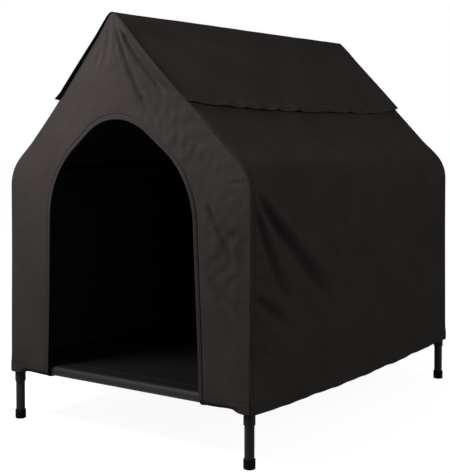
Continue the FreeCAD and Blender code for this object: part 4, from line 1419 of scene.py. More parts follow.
@dataclass
class DoorBinding(ClothSheet):
    """Tape folded over the cut edge of the doorway and sewn through.

    Attributes:
        width: Width on each side of the cut edge.
        fold: Radius of the fold.
        tail: Length that curls under the cross tube at each end.
        pressed: How far the tape's edge lies lower, and over which width.
        sewn: Distance of the stitches from the fold, their half width and their depth.
        pucker: Height and length of the waves between stitches.
        seat: How far the tape's front lies behind the fold's crest.
    """

    width: float = 0.0072
    fold: float = 0.0011
    tail: float = 0.0125
    pressed: tuple[float, float] = (0.0006, 0.0022)
    sewn: tuple[float, float, float] = (0.0046, 0.0009, 0.0003)
    pucker: tuple[float, float] = (0.00012, 0.0105)
    seat: float = 0.00045
    thread_lift: float = 0.0002

    @cached_property
    def half_run(self) -> float:
        """Length of half the doorway, with the tail that hangs below the bed's height."""
        return float(DOORWAY.stops[-1]) + self.tail

    def grid(self) -> Pair:
        """Stops round the doorway and round the tape's fold.

        Returns:
            Stops in rising order for both directions.
        """
        half = np.concatenate([np.arange(0.0, self.half_run - 0.001, 0.0032), [self.half_run]])
        around = np.concatenate([half - self.half_run, (self.half_run - half)[::-1][1:]])
        bend = math.pi * self.fold
        across = np.concatenate([
            np.linspace(0.0, self.width, 14, endpoint=False),
            np.linspace(self.width, self.width + bend, 9, endpoint=False),
            np.linspace(self.width + bend, 2 * self.width + bend, 8),
        ])
        return around, across

    def surface(self, first: Array, second: Array) -> Pair:
        """Tape folded over the doorway's edge, with its tails under the tube.

        Args:
            first: Place round the doorway.
            second: Place across the tape.

        Returns:
            Points and outward normals.
        """
        side = np.where(first > 0, 1.0, -1.0)
        path = self.half_run - np.abs(first) - self.tail
        x, z, across, up = DOORWAY.point(path)
        under = np.maximum(-path, 0.0) / HOUSE.cover_offset
        bend = np.clip((second - self.width) / self.fold, 0.0, math.pi)
        back = np.maximum(second - self.width - math.pi * self.fold, 0.0)
        reach = np.maximum(self.width - second, 0.0) + back - self.fold * np.sin(bend)
        low_edge, edge_width = self.pressed
        sewn, sewn_width, sewn_depth = self.sewn
        press = low_edge * ramp(reach, self.width - edge_width, self.width)
        press = press + sewn_depth * bell(reach, sewn, sewn_width)
        crest, wave_length = self.pucker
        wave = crest * np.sin(first * 2 * math.pi / wave_length) * ramp(reach, 0.0, 0.005)
        out = np.cos(bend) * (self.fold - press + wave) - self.seat
        height = z + up * reach
        forward = DOORWAY.bulge(z) * (1 - reach / DOORWAY.margin(z))
        depth = HOUSE.reach(height, -1.0) - HOUSE.half_length + forward + out
        y = -HOUSE.half_length - depth * np.cos(under)
        drop = (HOUSE.cover_offset + out) * np.sin(under)
        height = np.where(under > 0, HOUSE.bed_height - drop, height)
        points = np.stack([side * (x + across * reach), y, height], axis=-1)
        normal_side = -np.sin(bend)
        normals = [side * across * normal_side, -np.cos(bend), up * normal_side]
        return points, np.stack(normals, axis=-1)

    def stitch_lines(self) -> list[Array]:
        """One row round the doorway."""
        around = np.arange(-self.half_run + 0.003, self.half_run - 0.003, 0.002)
        return [self.row(around, self.width - self.sewn[0])]


@dataclass(frozen=True)
class EdgeLift:
    """One place where the flap's lower edge stands off the roof.

    Attributes:
        along: Where it is along the house.
        width: Half width.
        height: How far the edge is lifted.
    """

    along: float
    width: float
    height: float


@dataclass
class RoofFlap(ClothSheet):
    """Loose flap of the second roof layer, sewn to the ridge strip along its hinge line.

    Attributes:
        side: Side of the house.
        lifts: Places where its lower edge stands off the roof.
        hinge_x: Distance of the hinge line from the middle.
        hinge_z: Height of the hinge line.
        hinge_gap: How far the cloth starts above the hinge line.
        drop: Its slope.
        front_top: How far it reaches forward at the hinge.
        front_low: How far it reaches forward at its lower corner.
        bow: How much further it reaches in between.
        rear: How far it reaches back.
        length: From the hinge line to its lower corners.
        sag: How much longer it is at mid length.
        settle_depth: How far its lower edge settles onto the roof.
        curl: How far its front and rear edges stand up.
        curl_width: Over which width they do.
        hem_width: Width of its hems.
        hem_rise: How far the hems' double cloth stands out.
        bend_length: Stretch below the hinge that would bend when it opens; not used.
    """

    side: Side = Side.RIGHT
    lifts: tuple[EdgeLift, ...] = ()
    hinge_x: float = 0.0104008
    hinge_z: float = 0.847446
    hinge_gap: float = 0.0012
    drop: float = math.radians(44.8)
    front_top: float = 0.465
    front_low: float = 0.4475
    rear: float = 0.4455
    length: float = 0.236
    sag: float = 0.0205
    settle_depth: float = 0.0041
    curl: float = 0.0022
    curl_width: float = 0.016
    bow: float = 0.006
    hem_width: float = 0.0115
    hem_rise: float = 0.0005
    bend_length: float = 0.042

    def grid(self) -> Pair:
        """Stops along the house and down the flap, as shares."""
        along = stations((-1.0, 1.0), 0.0098, 0.0022, 0.0088)
        return along, stations((0.0, 1.0), 0.019, 0.0048, 0.0192)

    def flat_place(self, first: Array, second: Array) -> Pair:
        """Place on the flat cloth."""
        return first * (self.front_top + self.rear) / 2, second * self.length

    def surface(self, first: Array, second: Array) -> Pair:
        """Flap that lies on the roof, with hems, curled ends and a wavy lower edge.

        Args:
            first: Place along the house, from -1 to 1.
            second: Share of the way down the flap.

        Returns:
            Points and outward normals.
        """
        curve = np.where(first < 0, np.abs(first) ** 2.2, np.abs(first) ** 5)
        length = self.length + self.sag * (1 - curve)
        down = second * (length + self.hinge_gap) - self.hinge_gap
        share = np.clip(down / self.length, 0.0, 1.0)
        front = self.front_top + (self.front_low - self.front_top) * share
        front = front + self.bow * np.sin(math.pi * share)
        y = (first * (front + self.rear) + self.rear - front) / 2
        lift = -self.settle_depth * second**1.6 - HOUSE.dip(down)
        loose = ramp(second, 0.90, 1.0)
        for place in self.lifts:
            lift = lift + place.height * bell(y, place.along, place.width) * loose
        edge = np.minimum(front + y, self.rear - y)
        calm = ramp(second, 0.02, 0.2)
        lift = lift + self.folds(y, down) * calm
        lift = lift + self.curl * bell(edge, 0.0, self.curl_width) * calm
        inner, outer = self.hem_width + 0.001, self.hem_width - 0.001
        hem = np.maximum(ramp(down, length - inner, length - outer), 1 - ramp(edge, outer, inner))
        lift = lift + self.hem_rise * hem * ramp(second, 0.0, 0.03)
        hand = self.side.value
        x = hand * (self.hinge_x + down * math.cos(self.drop) + lift * math.sin(self.drop))
        z = self.hinge_z - down * math.sin(self.drop) + lift * math.cos(self.drop)
        points = np.stack([x, y, z], axis=-1)
        normal = np.array([hand * math.sin(self.drop), 0.0, math.cos(self.drop)])
        return points, np.broadcast_to(normal, points.shape)

    def attach(self, piece: bpy.types.Object) -> None:
        """Bakes the piece's placement into its mesh.

        Args:
            piece: The flap's cloth or its stitches.
        """
        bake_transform(piece)

    def stitch_lines(self) -> list[Array]:
        """Rows along the lower hem and the two end hems.

        Returns:
            Points along each row.
        """
        along = np.linspace(-0.975, 0.975, 600)
        down = np.linspace(0.03, 0.955, 160)
        ends = [self.row(end, down) for end in (-0.977, 0.977)]
        return [self.row(along, 0.957), *ends]


@dataclass
class RidgeStrip(ClothSheet):
    """Crest of the second roof layer, sewn along the ridge."""

    radius: float = 0.0133
    front: float = 0.465
    rear: float = 0.4455

    def grid(self) -> Pair:
        """Stops along the ridge and round it."""
        along = stations((-self.front, self.rear), 0.0062, 0.0012, 0.006)
        return along, np.linspace(-HOUSE.pitch, HOUSE.pitch, 15)

    def flat_place(self, first: Array, second: Array) -> Pair:
        """Place on the flat cloth."""
        return first, second * self.radius

    def surface(self, first: Array, second: Array) -> Pair:
        """Strip bent over the ridge.

        Args:
            first: Place along the ridge.
            second: Angle round it.

        Returns:
            Points and outward normals.
        """
        calm = 1 - ramp(np.abs(second), 0.5 * HOUSE.pitch, HOUSE.pitch)
        lift = self.radius + self.folds(first, second * self.radius) * calm
        normal = [np.sin(second), np.zeros_like(first), np.cos(second)]
        points = [lift * normal[0], first, HOUSE.ridge_z + lift * normal[2]]
        return np.stack(points, axis=-1), np.stack(normal, axis=-1)

    def stitch_lines(self) -> list[Array]:
        """A row beside each hinge line."""
        along = np.arange(0.004 - self.front, self.rear - 0.004, 0.003)
        return [self.row(along, side.value * 0.8 * HOUSE.pitch) for side in Side]


@dataclass
class BedSling(ClothSheet):
    """Bed cloth: a sheet whose four sides wrap round the bed tubes and are sewn back under it.

    Attributes:
        radius: Radius of the sleeves.
        sleeve_x: Half length of the front and rear sleeves.
        sleeve_y: Half length of the side sleeves.
        sew_in: Distance of the sewn line from the tubes' axes.
        sewn_drop: How far the sewn edge lies below the bed's face.
        sag: How far the middle of the bed sinks.
        corner_gap: Distance from the tubes' axes to which the corner notches are cut back.
        calm: Distances from the tubes' axes over which sag and folds start.
    """

    radius: float = 0.0102
    sleeve_x: float = 0.24745
    sleeve_y: float = 0.37745
    sew_in: float = 0.032
    sewn_drop: float = 0.0012
    sag: float = 0.005
    corner_gap: float = 0.012
    calm: tuple[float, float] = (0.004, 0.06)

    @cached_property
    def tangent(self) -> float:
        """Angle round the tube at which the cloth leaves it towards the sewn line.

        Returns:
            The angle from the top of the tube.
        """
        rise = self.radius - self.sewn_drop
        span = math.hypot(self.sew_in, rise)
        return math.pi + math.asin(self.radius / span) + math.atan2(rise, self.sew_in)

    @cached_property
    def wrap(self) -> float:
        """Length of cloth from the top of the tube to the sewn line."""
        span = math.hypot(self.sew_in, self.radius - self.sewn_drop)
        return self.radius * self.tangent + math.sqrt(span**2 - self.radius**2)

    def grid(self) -> Pair:
        """Stops across and along the bed, with stops at the corner notches.

        Returns:
            Stops in rising order for both directions.
        """
        across, along = HOUSE.half_width, HOUSE.half_length
        wrap = np.linspace(0.0, self.wrap, 34)[1:]
        result = []
        for notch, tube in ((self.sleeve_x, across), (self.sleeve_y, along)):
            middle = np.linspace(-notch, notch, math.ceil(2 * notch / 0.0085) + 1)
            edge = np.linspace(notch, tube, 9)[1:]
            outer = np.concatenate([edge, tube + wrap])
            result.append(np.concatenate([-outer[::-1], middle, outer]))
        return result[0], result[1]

    def open_cells(self, first: Array, second: Array) -> Array:
        """Corner notches, cut back to the sockets of the corner connectors.

        Args:
            first: Place across the bed.
            second: Place along it.

        Returns:
            True where the cloth is cut out.
        """
        across, along = np.abs(first), np.abs(second)
        tongue = across < HOUSE.half_width - self.corner_gap
        tongue &= along < HOUSE.half_length - self.corner_gap
        return (across > self.sleeve_x) & (along > self.sleeve_y) & ~tongue

    def sleeve(self, path: Array) -> Pair:
        """Place round a tube.

        Args:
            path: Distance along the cloth from the top of the tube.

        Returns:
            Distance out from the tube's axis and height above it.
        """
        angle = np.clip(path / self.radius, 0.0, self.tangent)
        rest = np.maximum(path - self.radius * self.tangent, 0.0)
        out = self.radius * np.sin(angle) + rest * math.cos(self.tangent)
        return out, self.radius * np.cos(angle) - rest * math.sin(self.tangent)

    def surface(self, first: Array, second: Array) -> Pair:
        """Sagging bed face with its sleeves round the tubes.

        Args:
            first: Place across the bed.
            second: Place along it.

        Returns:
            Points and outward normals.
        """
        half_x, half_y = HOUSE.half_width, HOUSE.half_length
        path_x = np.maximum(np.abs(first) - half_x, 0.0)
        path_y = np.maximum(np.abs(second) - half_y, 0.0)
        out_x, top_x = self.sleeve(path_x)
        out_y, top_y = self.sleeve(path_y)
        x = np.sign(first) * (np.minimum(np.abs(first), half_x) + np.where(path_x > 0, out_x, 0))
        y = np.sign(second) * (np.minimum(np.abs(second), half_y) + np.where(path_y > 0, out_y, 0))
        calm = ramp(half_x - np.abs(first), *self.calm) * ramp(half_y - np.abs(second), *self.calm)
        slack = 1 - np.clip(np.abs(first) / half_x, 0, 1) ** 2
        slack = slack * (1 - np.clip(np.abs(second) / half_y, 0, 1) ** 2)
        sink = self.sag * slack * calm - self.folds(first, second) * calm
        z = HOUSE.bed_height + np.minimum(top_x, top_y) - sink
        tilt_x = np.clip(path_x / self.radius, 0, self.tangent)
        tilt_y = np.clip(path_y / self.radius, 0, self.tangent)
        normals = [
            np.sign(first) * np.sin(tilt_x),
            np.sign(second) * np.sin(tilt_y),
            np.cos(np.maximum(tilt_x, tilt_y)),
        ]
        return np.stack([x, y, z], axis=-1), np.stack(normals, axis=-1)

    def stitch_lines(self) -> list[Array]:
        """Two rows along each sleeve.

        Returns:
            Points along each row.
        """
        rows = []
        across = np.arange(-self.sleeve_x + 0.004, self.sleeve_x - 0.004, 0.003)
        along = np.arange(-self.sleeve_y + 0.004, self.sleeve_y - 0.004, 0.003)
        for inset in (self.sew_in - 0.002, self.sew_in - 0.008):
            for sign in (-1, 1):
                rows.append(self.row(across, sign * (HOUSE.half_length - inset)))
                rows.append(self.row(sign * (HOUSE.half_width - inset), along))
        return rows


@dataclass
class SideTape(ClothSheet):
    """Hook-and-loop tape between a wall's hem and the side sleeve."""

    side: Side = Side.RIGHT
    half_run: float = 0.37445
    half_width: float = 0.010
    stand_off: float = 0.0110

    def grid(self) -> Pair:
        """Stops along the tape and across it."""
        along = np.linspace(-self.half_run, self.half_run, 150)
        return along, np.linspace(-self.half_width, self.half_width, 7)

    def surface(self, first: Array, second: Array) -> Pair:
        """Flat tape beside the sleeve.

        Args:
            first: Place along the tape.
            second: Place across it.

        Returns:
            Points and outward normals.
        """
        hand = self.side.value
        x = np.full_like(first, hand * (HOUSE.half_width + self.stand_off))
        normals = np.broadcast_to(np.array([hand, 0.0, 0.0]), (*first.shape, 3))
        return np.stack([x, first, HOUSE.bed_height + second], axis=-1), normals


@dataclass
class CrossTape(ClothSheet):
    """Hook-and-loop tape round the underside of a cross tube's sleeve."""

    end: End = End.REAR
    spans: tuple[tuple[float, float], ...] = ((-0.24445, 0.24445),)
    radius: float = 0.01105

    def grid(self) -> Pair:
        """Stops along the tape, with a gap between its spans, and round the tube.

        Returns:
            Stops in rising order for both directions.
        """
        counts = [max(24, round((high - low) / 0.006)) for low, high in self.spans]
        runs = [np.linspace(*span, count) for span, count in zip(self.spans, counts)]
        return np.concatenate(runs), np.linspace(0.0, math.pi, 17)

    def open_cells(self, first: Array, second: Array) -> Array:
        """Cells in the doorway, between the spans."""
        inside = [(first > low) & (first < high) for low, high in self.spans]
        return ~np.any(inside, axis=0)

    def flat_place(self, first: Array, second: Array) -> Pair:
        """Place on the flat tape."""
        return first, second * self.radius

    def surface(self, first: Array, second: Array) -> Pair:
        """Tape bent round the tube.

        Args:
            first: Place along the tube.
            second: Angle round its underside.

        Returns:
            Points and outward normals.
        """
        facing = self.end.value
        out, down = np.cos(second), -np.sin(second)
        y = facing * (HOUSE.half_length + self.radius * out)
        z = HOUSE.bed_height + self.radius * down
        normals = np.stack([np.zeros_like(first), facing * out, down], axis=-1)
        return np.stack([first, y, z], axis=-1), normals


class RepeatTree:
    """A Geometry Nodes tree with named inputs, run on a mesh and turned into a plain mesh."""

    def __init__(self, name: str, inputs: dict[str, str]) -> None:
        """Starts the tree.

        Args:
            name: Name of the tree.
            inputs: Socket type of each named input after the geometry.
        """
        self.tree = bpy.data.node_groups.new(name, "GeometryNodeTree")
        self.graph = Graph(self.tree)
        face = self.tree.interface
        face.new_socket("Geometry", in_out="INPUT", socket_type="NodeSocketGeometry")
        face.new_socket("Geometry", in_out="OUTPUT", socket_type="NodeSocketGeometry")
        self.keys = {
            label: face.new_socket(label, in_out="INPUT", socket_type=kind).identifier
            for label, kind in inputs.items()
        }
        self.source = self.graph.node("NodeGroupInput").outputs

    def close(self, geometry: bpy.types.NodeSocket) -> None:
        """Ends the tree in Realize Instances and Set Material.

        Args:
            geometry: Last output of the tree's own nodes.
        """
        plain = self.graph.node("GeometryNodeRealizeInstances", {}, {0: geometry})
        dressed = self.graph.node(
            "GeometryNodeSetMaterial",
            {},
            {"Geometry": plain.outputs[0], "Material": self.source["Material"]},
        )
        self.graph.node("NodeGroupOutput", {}, {0: dressed.outputs[0]})

    def run(self, piece: bpy.types.Object, values: dict[str, object]) -> bpy.types.Object:
        """Runs the tree on a piece.

        Args:
            piece: The piece.
            values: Values of the named inputs.

        Returns:
            The piece as a plain mesh.
        """
        modifier = piece.modifiers.new("repeat", "NODES")
        modifier.node_group = self.tree
        for label, value in values.items():
            modifier[self.keys[label]] = value
        return settle(piece)


class Seamstress:
    """Sews rows of thread stitches along lines on the sheets."""

    def __init__(self, thread: bpy.types.Material) -> None:
        """Builds the stitch tree.

        Args:
            thread: Material of the stitches.
        """
        self.thread = thread
        kinds = {
            "Pitch": "NodeSocketFloat",
            "Stitch length": "NodeSocketFloat",
            "Thread radius": "NodeSocketFloat",
            "Seed": "NodeSocketInt",
            "Material": "NodeSocketMaterial",
        }
        self.tree = RepeatTree("stitch_row", kinds)
        graph, source = self.tree.graph, self.tree.source
        curve = graph.node("GeometryNodeMeshToCurve", {}, {"Mesh": source["Geometry"]})
        spaced = graph.node(
            "GeometryNodeResampleCurve",
            {"mode": "LENGTH"},
            {"Curve": curve.outputs[0], "Length": source["Pitch"]},
        )
        ball = graph.node(
            "GeometryNodeMeshUVSphere", {}, {"Segments": 6, "Rings": 4, "Radius": 1.0}
        )
        half = Value(graph, source["Stitch length"]) * 0.5
        size = graph.node(
            "ShaderNodeCombineXYZ",
            {},
            {0: source["Thread radius"], 1: source["Thread radius"], 2: half},
        )
        stitch = graph.node(
            "GeometryNodeTransform", {}, {"Geometry": ball.outputs[0], "Scale": size.outputs[0]}
        )
        way = graph.node("GeometryNodeInputTangent")
        turn = graph.node(
            "FunctionNodeAlignRotationToVector", {"axis": "Z"}, {"Vector": way.outputs[0]}
        )
        vary = graph.node(
            "FunctionNodeRandomValue",
            {"data_type": "FLOAT"},
            {"Min": 0.88, "Max": 1.06, "Seed": source["Seed"]},
        )
        rows = graph.node(
            "GeometryNodeInstanceOnPoints",
            {},
            {
                "Points": spaced.outputs[0],
                "Instance": stitch.outputs[0],
                "Rotation": turn.outputs[0],
                "Scale": vary.outputs[1],
            },
        )
        self.tree.close(rows.outputs[0])

    def sew(self, sheet: ClothSheet, seed: int) -> bpy.types.Object | None:
        """Sews a sheet's stitch rows.

        Args:
            sheet: The sheet, already built.
            seed: Seed for the stitches' small differences.

        Returns:
            The stitches, or None for a sheet without rows.
        """
        lines = sheet.stitch_lines()
        if not lines:
            return None
        points = np.concatenate(lines)
        ends = np.cumsum([len(line) for line in lines])
        edges = [(i, i + 1) for i in range(len(points) - 1) if i + 1 not in ends]
        mesh = bpy.data.meshes.new(f"{sheet.name}_stitches")
        mesh.from_pydata(points.tolist(), edges, [])
        piece = link(mesh.name, mesh)
        sizes = {"Pitch": 0.0046, "Stitch length": 0.0036, "Thread radius": 0.00042}
        self.tree.run(piece, {**sizes, "Seed": seed, "Material": self.thread})
        piece.data.shade_smooth()
        sheet.attach(piece)
        return piece


@dataclass
class VentNet:
    """Net sewn under a vent window, knotted from crossing yarns."""

    side: Side
    yarn: bpy.types.Material
    half_run: float = 0.272
    drop: tuple[float, float] = (0.058, 0.167)
    offset: float = 0.0078
    pitch: float = 0.004
    radius: float = 0.0005

    def tree(self) -> RepeatTree:
        """Tree that turns the edges of a grid into yarns.

        Returns:
            The tree.
        """
        kinds = {"Yarn radius": "NodeSocketFloat", "Material": "NodeSocketMaterial"}
        tree = RepeatTree("net_yarn", kinds)
        graph, source = tree.graph, tree.source
        lines = graph.node("GeometryNodeMeshToCurve", {}, {"Mesh": source["Geometry"]})
        ring = graph.node(
            "GeometryNodeCurvePrimitiveCircle",
            {"mode": "RADIUS"},
            {"Resolution": 4, "Radius": source["Yarn radius"]},
        )
        yarn = graph.node(
            "GeometryNodeCurveToMesh",
            {},
            {"Curve": lines.outputs[0], "Profile Curve": ring.outputs[0]},
        )
        tree.close(yarn.outputs[0])
        return tree

    def build(self) -> bpy.types.Object:
        """Returns:
            The net.
        """
        node = f"{self.side.label}_vent_mesh"
        name = f"{node}_net"
        low, high = self.drop
        count = round(2 * self.half_run / self.pitch) + 1
        along = np.linspace(-self.half_run, self.half_run, count)
        down = np.linspace(low, high, round((high - low) / self.pitch) + 1)
        first, second = np.meshgrid(along, down, indexing="ij")
        slope = HOUSE.pitch
        x = second * math.cos(slope) + self.offset * math.sin(slope)
        z = HOUSE.ridge_z - second * math.sin(slope) + self.offset * math.cos(slope)
        points = np.stack([self.side.value * x, first, z], axis=-1).reshape(-1, 3)
        index = np.arange(first.size).reshape(first.shape)
        runs = [np.stack([index[:-1], index[1:]], -1), np.stack([index[:, :-1], index[:, 1:]], -1)]
        edges = np.concatenate([run.reshape(-1, 2) for run in runs])
        mesh = bpy.data.meshes.new(name)
        mesh.from_pydata(points.tolist(), edges.tolist(), [])
        piece = link(name, mesh)
        self.tree().run(piece, {"Yarn radius": self.radius, "Material": self.yarn})
        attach(piece, "house")
        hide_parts(node)
        2 * self.half_run
        LOG.info("%s: %d faces", piece.name, len(piece.data.polygons))
        return piece


@dataclass
class TubeFrame:
    """Legs, tubes, connectors and feet, which stay as the CAD solids."""

    nodes: dict[str, bpy.types.Object]

    def dress(self) -> None:
        """Gives each shown node its finish."""
        plastic, coat = CONNECTOR_PLASTIC.make(), TUBE_COAT.make()
        kinds = {"_connector": plastic, "_elbow": plastic, "_foot_cap": FOOT_RUBBER.make()}
        for name, node in self.nodes.items():
            if node.hide_render:
                continue
            found = [finish for ending, finish in kinds.items() if name.endswith(ending)]
            for slot in node.material_slots:
                slot.material = found[0] if found else coat
            LOG.info("%s: %s", name, node.material_slots[0].material.name)


@dataclass
class Cover:
    """The sewn cover and its second roof layer."""

    cloth: bpy.types.Material
    tape: bpy.types.Material
    hooks: bpy.types.Material
    yarn: bpy.types.Material

    def front_creases(self) -> tuple[Crease | Rumple, ...]:
        """Gathers below the peak, pulls beside the right jamb, fine wrinkles right of the arch.

        Returns:
            The folds.
        """
        return (
            Crease((0.004, 0.840), (0.007, 0.800), (0.004, 0.752), (0.004, 0.006), 0.0010),
            Crease(
                (0.006, 0.826), (0.030, 0.745), (0.088, 0.640),
                (0.004, 0.008), 0.0052, fades=(0.15, 0.30),
            ),
            Crease(
                (0.014, 0.822), (0.060, 0.752), (0.122, 0.690),
                (0.0035, 0.006), 0.0080, fades=(0.15, 0.25),
            ),
            Crease((0.056, 0.694), (0.082, 0.662), (0.108, 0.618), (0.004, 0.006), 0.0028),
            Crease((-0.010, 0.826), (-0.016, 0.785), (-0.030, 0.735), (0.005, 0.010), 0.0012),
            Crease((-0.036, 0.782), (-0.045, 0.765), (-0.058, 0.742), (0.004, 0.006), 0.0012),
            Crease(
                (0.213, 0.488), (0.243, 0.440), (0.278, 0.372),
                (0.005, 0.007), 0.0044, fades=(0.2, 0.25),
            ),
            Crease(
                (0.220, 0.352), (0.242, 0.315), (0.290, 0.248),
                (0.008, 0.013), 0.0034, fades=(0.35, 0.45),
            ),
            Crease(
                (0.282, 0.545), (0.290, 0.538), (0.298, 0.532),
                (0.004, 0.004), -0.0016, fades=(0.3, 0.3),
            ),
            Crease((0.262, 0.524), (0.284, 0.528), (0.300, 0.523), (0.004, 0.004), 0.0012),
            Rumple(41, 0.00085, (0.018, 0.045), 14, (0.150, 0.600), (0.080, 0.090)),
            Rumple(43, 0.00085, (0.022, 0.060), 14, (0.255, 0.400), (0.040, 0.130)),
            Rumple(47, 0.00035, (0.018, 0.045), 14, (0.030, 0.760), (0.050, 0.060)),
        )

    def right_wall_creases(self) -> tuple[Crease, ...]:
        """The long pull from the front eave corner and the shorter ones round it.

        Returns:
            The folds.
        """
        return (
            wall_crease(
                (-0.438, 0.522), (-0.305, 0.395), (-0.100, 0.238), (0.004, 0.024), 0.0140, (0.28, 0.34)
            ),
            wall_crease(
                (-0.433, 0.490), (-0.388, 0.400), (-0.296, 0.268), (0.004, 0.016), 0.0095, (0.22, 0.30)
            ),
            wall_crease((-0.434, 0.318), (-0.385, 0.290), (-0.290, 0.236), (0.009, 0.015), 0.0086),
            wall_crease((-0.433, 0.392), (-0.412, 0.388), (-0.390, 0.379), (0.005, 0.006), 0.0026),
            wall_crease((-0.433, 0.352), (-0.412, 0.347), (-0.388, 0.337), (0.005, 0.006), 0.0028),
            wall_crease((-0.424, 0.228), (-0.396, 0.213), (-0.366, 0.198), (0.008, 0.010), 0.0026),
            wall_crease((-0.160, 0.398), (-0.120, 0.368), (-0.088, 0.338), (0.010, 0.012), 0.0030),
            wall_crease((-0.112, 0.442), (-0.076, 0.412), (-0.046, 0.382), (0.010, 0.012), 0.0028),
        )

    def left_wall_creases(self) -> tuple[Crease, ...]:
        """Lighter pulls from the eave corners.

        Returns:
            The folds.
        """
        return (
            wall_crease((-0.430, 0.505), (-0.350, 0.420), (-0.230, 0.330), (0.010, 0.020), 0.0050),
            wall_crease((0.430, 0.500), (0.370, 0.420), (0.290, 0.330), (0.010, 0.018), 0.0042),
        )

    def panels(self) -> list[ClothSheet]:
        """All sheets of the sewn cover.

        Returns:
            The sheets, not yet built.
        """
        sheets: list[ClothSheet] = [
            GablePanel(
                "front_panel", "cover_cloth", self.cloth, (0.640, 0.775), "stretched",
                ("front_cross_tube", "front_ridge_connector"), 0.205,
                creases=self.front_creases(), ripple=Ripple(3, 0.0007),
            ),
            GablePanel(
                "rear_panel", "cover_cloth", self.cloth, (0.640, 0.775), "stretched",
                ("rear_cross_tube", "rear_ridge_connector"), 0.400, end=End.REAR, has_door=False,
                creases=(
                    Crease((0.008, 0.826), (0.026, 0.750), (0.070, 0.650), (0.005, 0.011), 0.0036),
                    Crease((-0.014, 0.826), (-0.050, 0.760), (-0.098, 0.690), (0.005, 0.010), 0.0040),
                ),
                ripple=Ripple(5, 0.0009),
            ),
            DoorBinding(
                "door_binding", "binding_tape", self.tape, (0.018, 1.30), "folded",
                ("front_panel",), thickness=0.0006, offset=0.0, ripple=Ripple(7, 0.0),
            ),
        ]
        for side in Side:
            label = side.label
            right = side is Side.RIGHT
            sheets.append(WallPanel(
                f"{label}_wall_panel", "cover_cloth", self.cloth,
                (0.90, 0.455), "stretched", (f"{label}_eave_rail", f"{label}_side_rail"), side=side,
                creases=self.right_wall_creases() if right else self.left_wall_creases(),
                ripple=Ripple(11 if right else 13, 0.0011),
                hem_sag=(0.002, 0.013, 0.006) if right else (0.0, 0.008, 0.0),
            ))
            sheets.append(RoofPanel(
                f"{label}_roof_panel", "cover_cloth", self.cloth,
                (0.92, 0.45), "stretched", (f"{label}_eave_rail", "ridge_tube"), 0.37,
                side=side, low=HOUSE.seam_run, high=HOUSE.top_run,
                ripple=Ripple(17 if right else 19, 0.0009),
            ))
        return sheets

    def roof_layer(self) -> list[ClothSheet]:
        """Ridge strip and the two loose flaps.

        Returns:
            The sheets, not yet built.
        """
        right_lifts = (
            EdgeLift(-0.430, 0.016, 0.0030), EdgeLift(-0.330, 0.024, 0.0034),
            EdgeLift(-0.268, 0.014, 0.0034), EdgeLift(-0.216, 0.014, 0.0032),
            EdgeLift(-0.154, 0.014, 0.0046), EdgeLift(-0.076, 0.015, 0.0052),
            EdgeLift(0.058, 0.026, 0.0032), EdgeLift(0.160, 0.014, 0.0044),
            EdgeLift(0.262, 0.014, 0.0042), EdgeLift(0.390, 0.026, 0.0018),
        )
        left_lifts = (
            EdgeLift(-0.450, 0.030, 0.0030), EdgeLift(-0.320, 0.040, 0.0020),
            EdgeLift(-0.250, 0.026, 0.0024), EdgeLift(-0.170, 0.024, 0.0040),
            EdgeLift(-0.060, 0.030, 0.0046), EdgeLift(0.085, 0.028, 0.0050),
            EdgeLift(0.230, 0.032, 0.0044), EdgeLift(0.370, 0.026, 0.0036),
        )
        sheets: list[ClothSheet] = [RidgeStrip(
            "ridge_strip", "cover_cloth", self.cloth, (0.0215, 0.9105), "stretched",
            ("ridge_tube",), offset=0.0, ripple=Ripple(23, 0.0003),
        )]
        for side in Side:
            label = side.label
            right = side is Side.RIGHT
            sheets.append(RoofFlap(
                f"{label}_roof_flap", "cover_cloth", self.cloth,
                (0.911, 0.252), "hung", ("ridge_strip", f"{label}_roof_panel"), offset=0.0,
                side=side, lifts=right_lifts if right else left_lifts,
                front_low=0.4555 if right else 0.4510, curl=0.0022 if right else 0.0006,
                bow=0.006 if right else 0.0, length=0.236 if right else 0.2255,
                creases=(
                    Crease((-0.098, 0.250), (-0.084, 0.215), (-0.076, 0.176), (0.012, 0.010), 0.0011),
                ) if right else (),
                ripple=Ripple(29 if right else 31, 0.0007),
            ))
        return sheets

    def tapes(self) -> list[ClothSheet]:
        """Hook-and-loop tapes of the hem.

        Returns:
            The sheets, not yet built.
        """
        sheets: list[ClothSheet] = [
            CrossTape(
                "front_hem_tapes", "hook_tape", self.hooks, (0.035, 0.091), "folded",
                ("front_cross_tube",), thickness=0.0004, offset=0.0, end=End.FRONT,
                spans=((-0.24445, -0.200), (0.200, 0.24445)),
            ),
            CrossTape(
                "rear_hem_tape", "hook_tape", self.hooks, (0.035, 0.489), "folded",
                ("rear_cross_tube",), thickness=0.0004, offset=0.0,
            ),
        ]
        for side in Side:
            label = side.label
            sheets.append(SideTape(
                f"{label}_hem_tape", "hook_tape", self.hooks, (0.020, 0.749), "laid",
                (f"{label}_side_rail",), thickness=0.0004, offset=0.0, side=side,
            ))
        return sheets


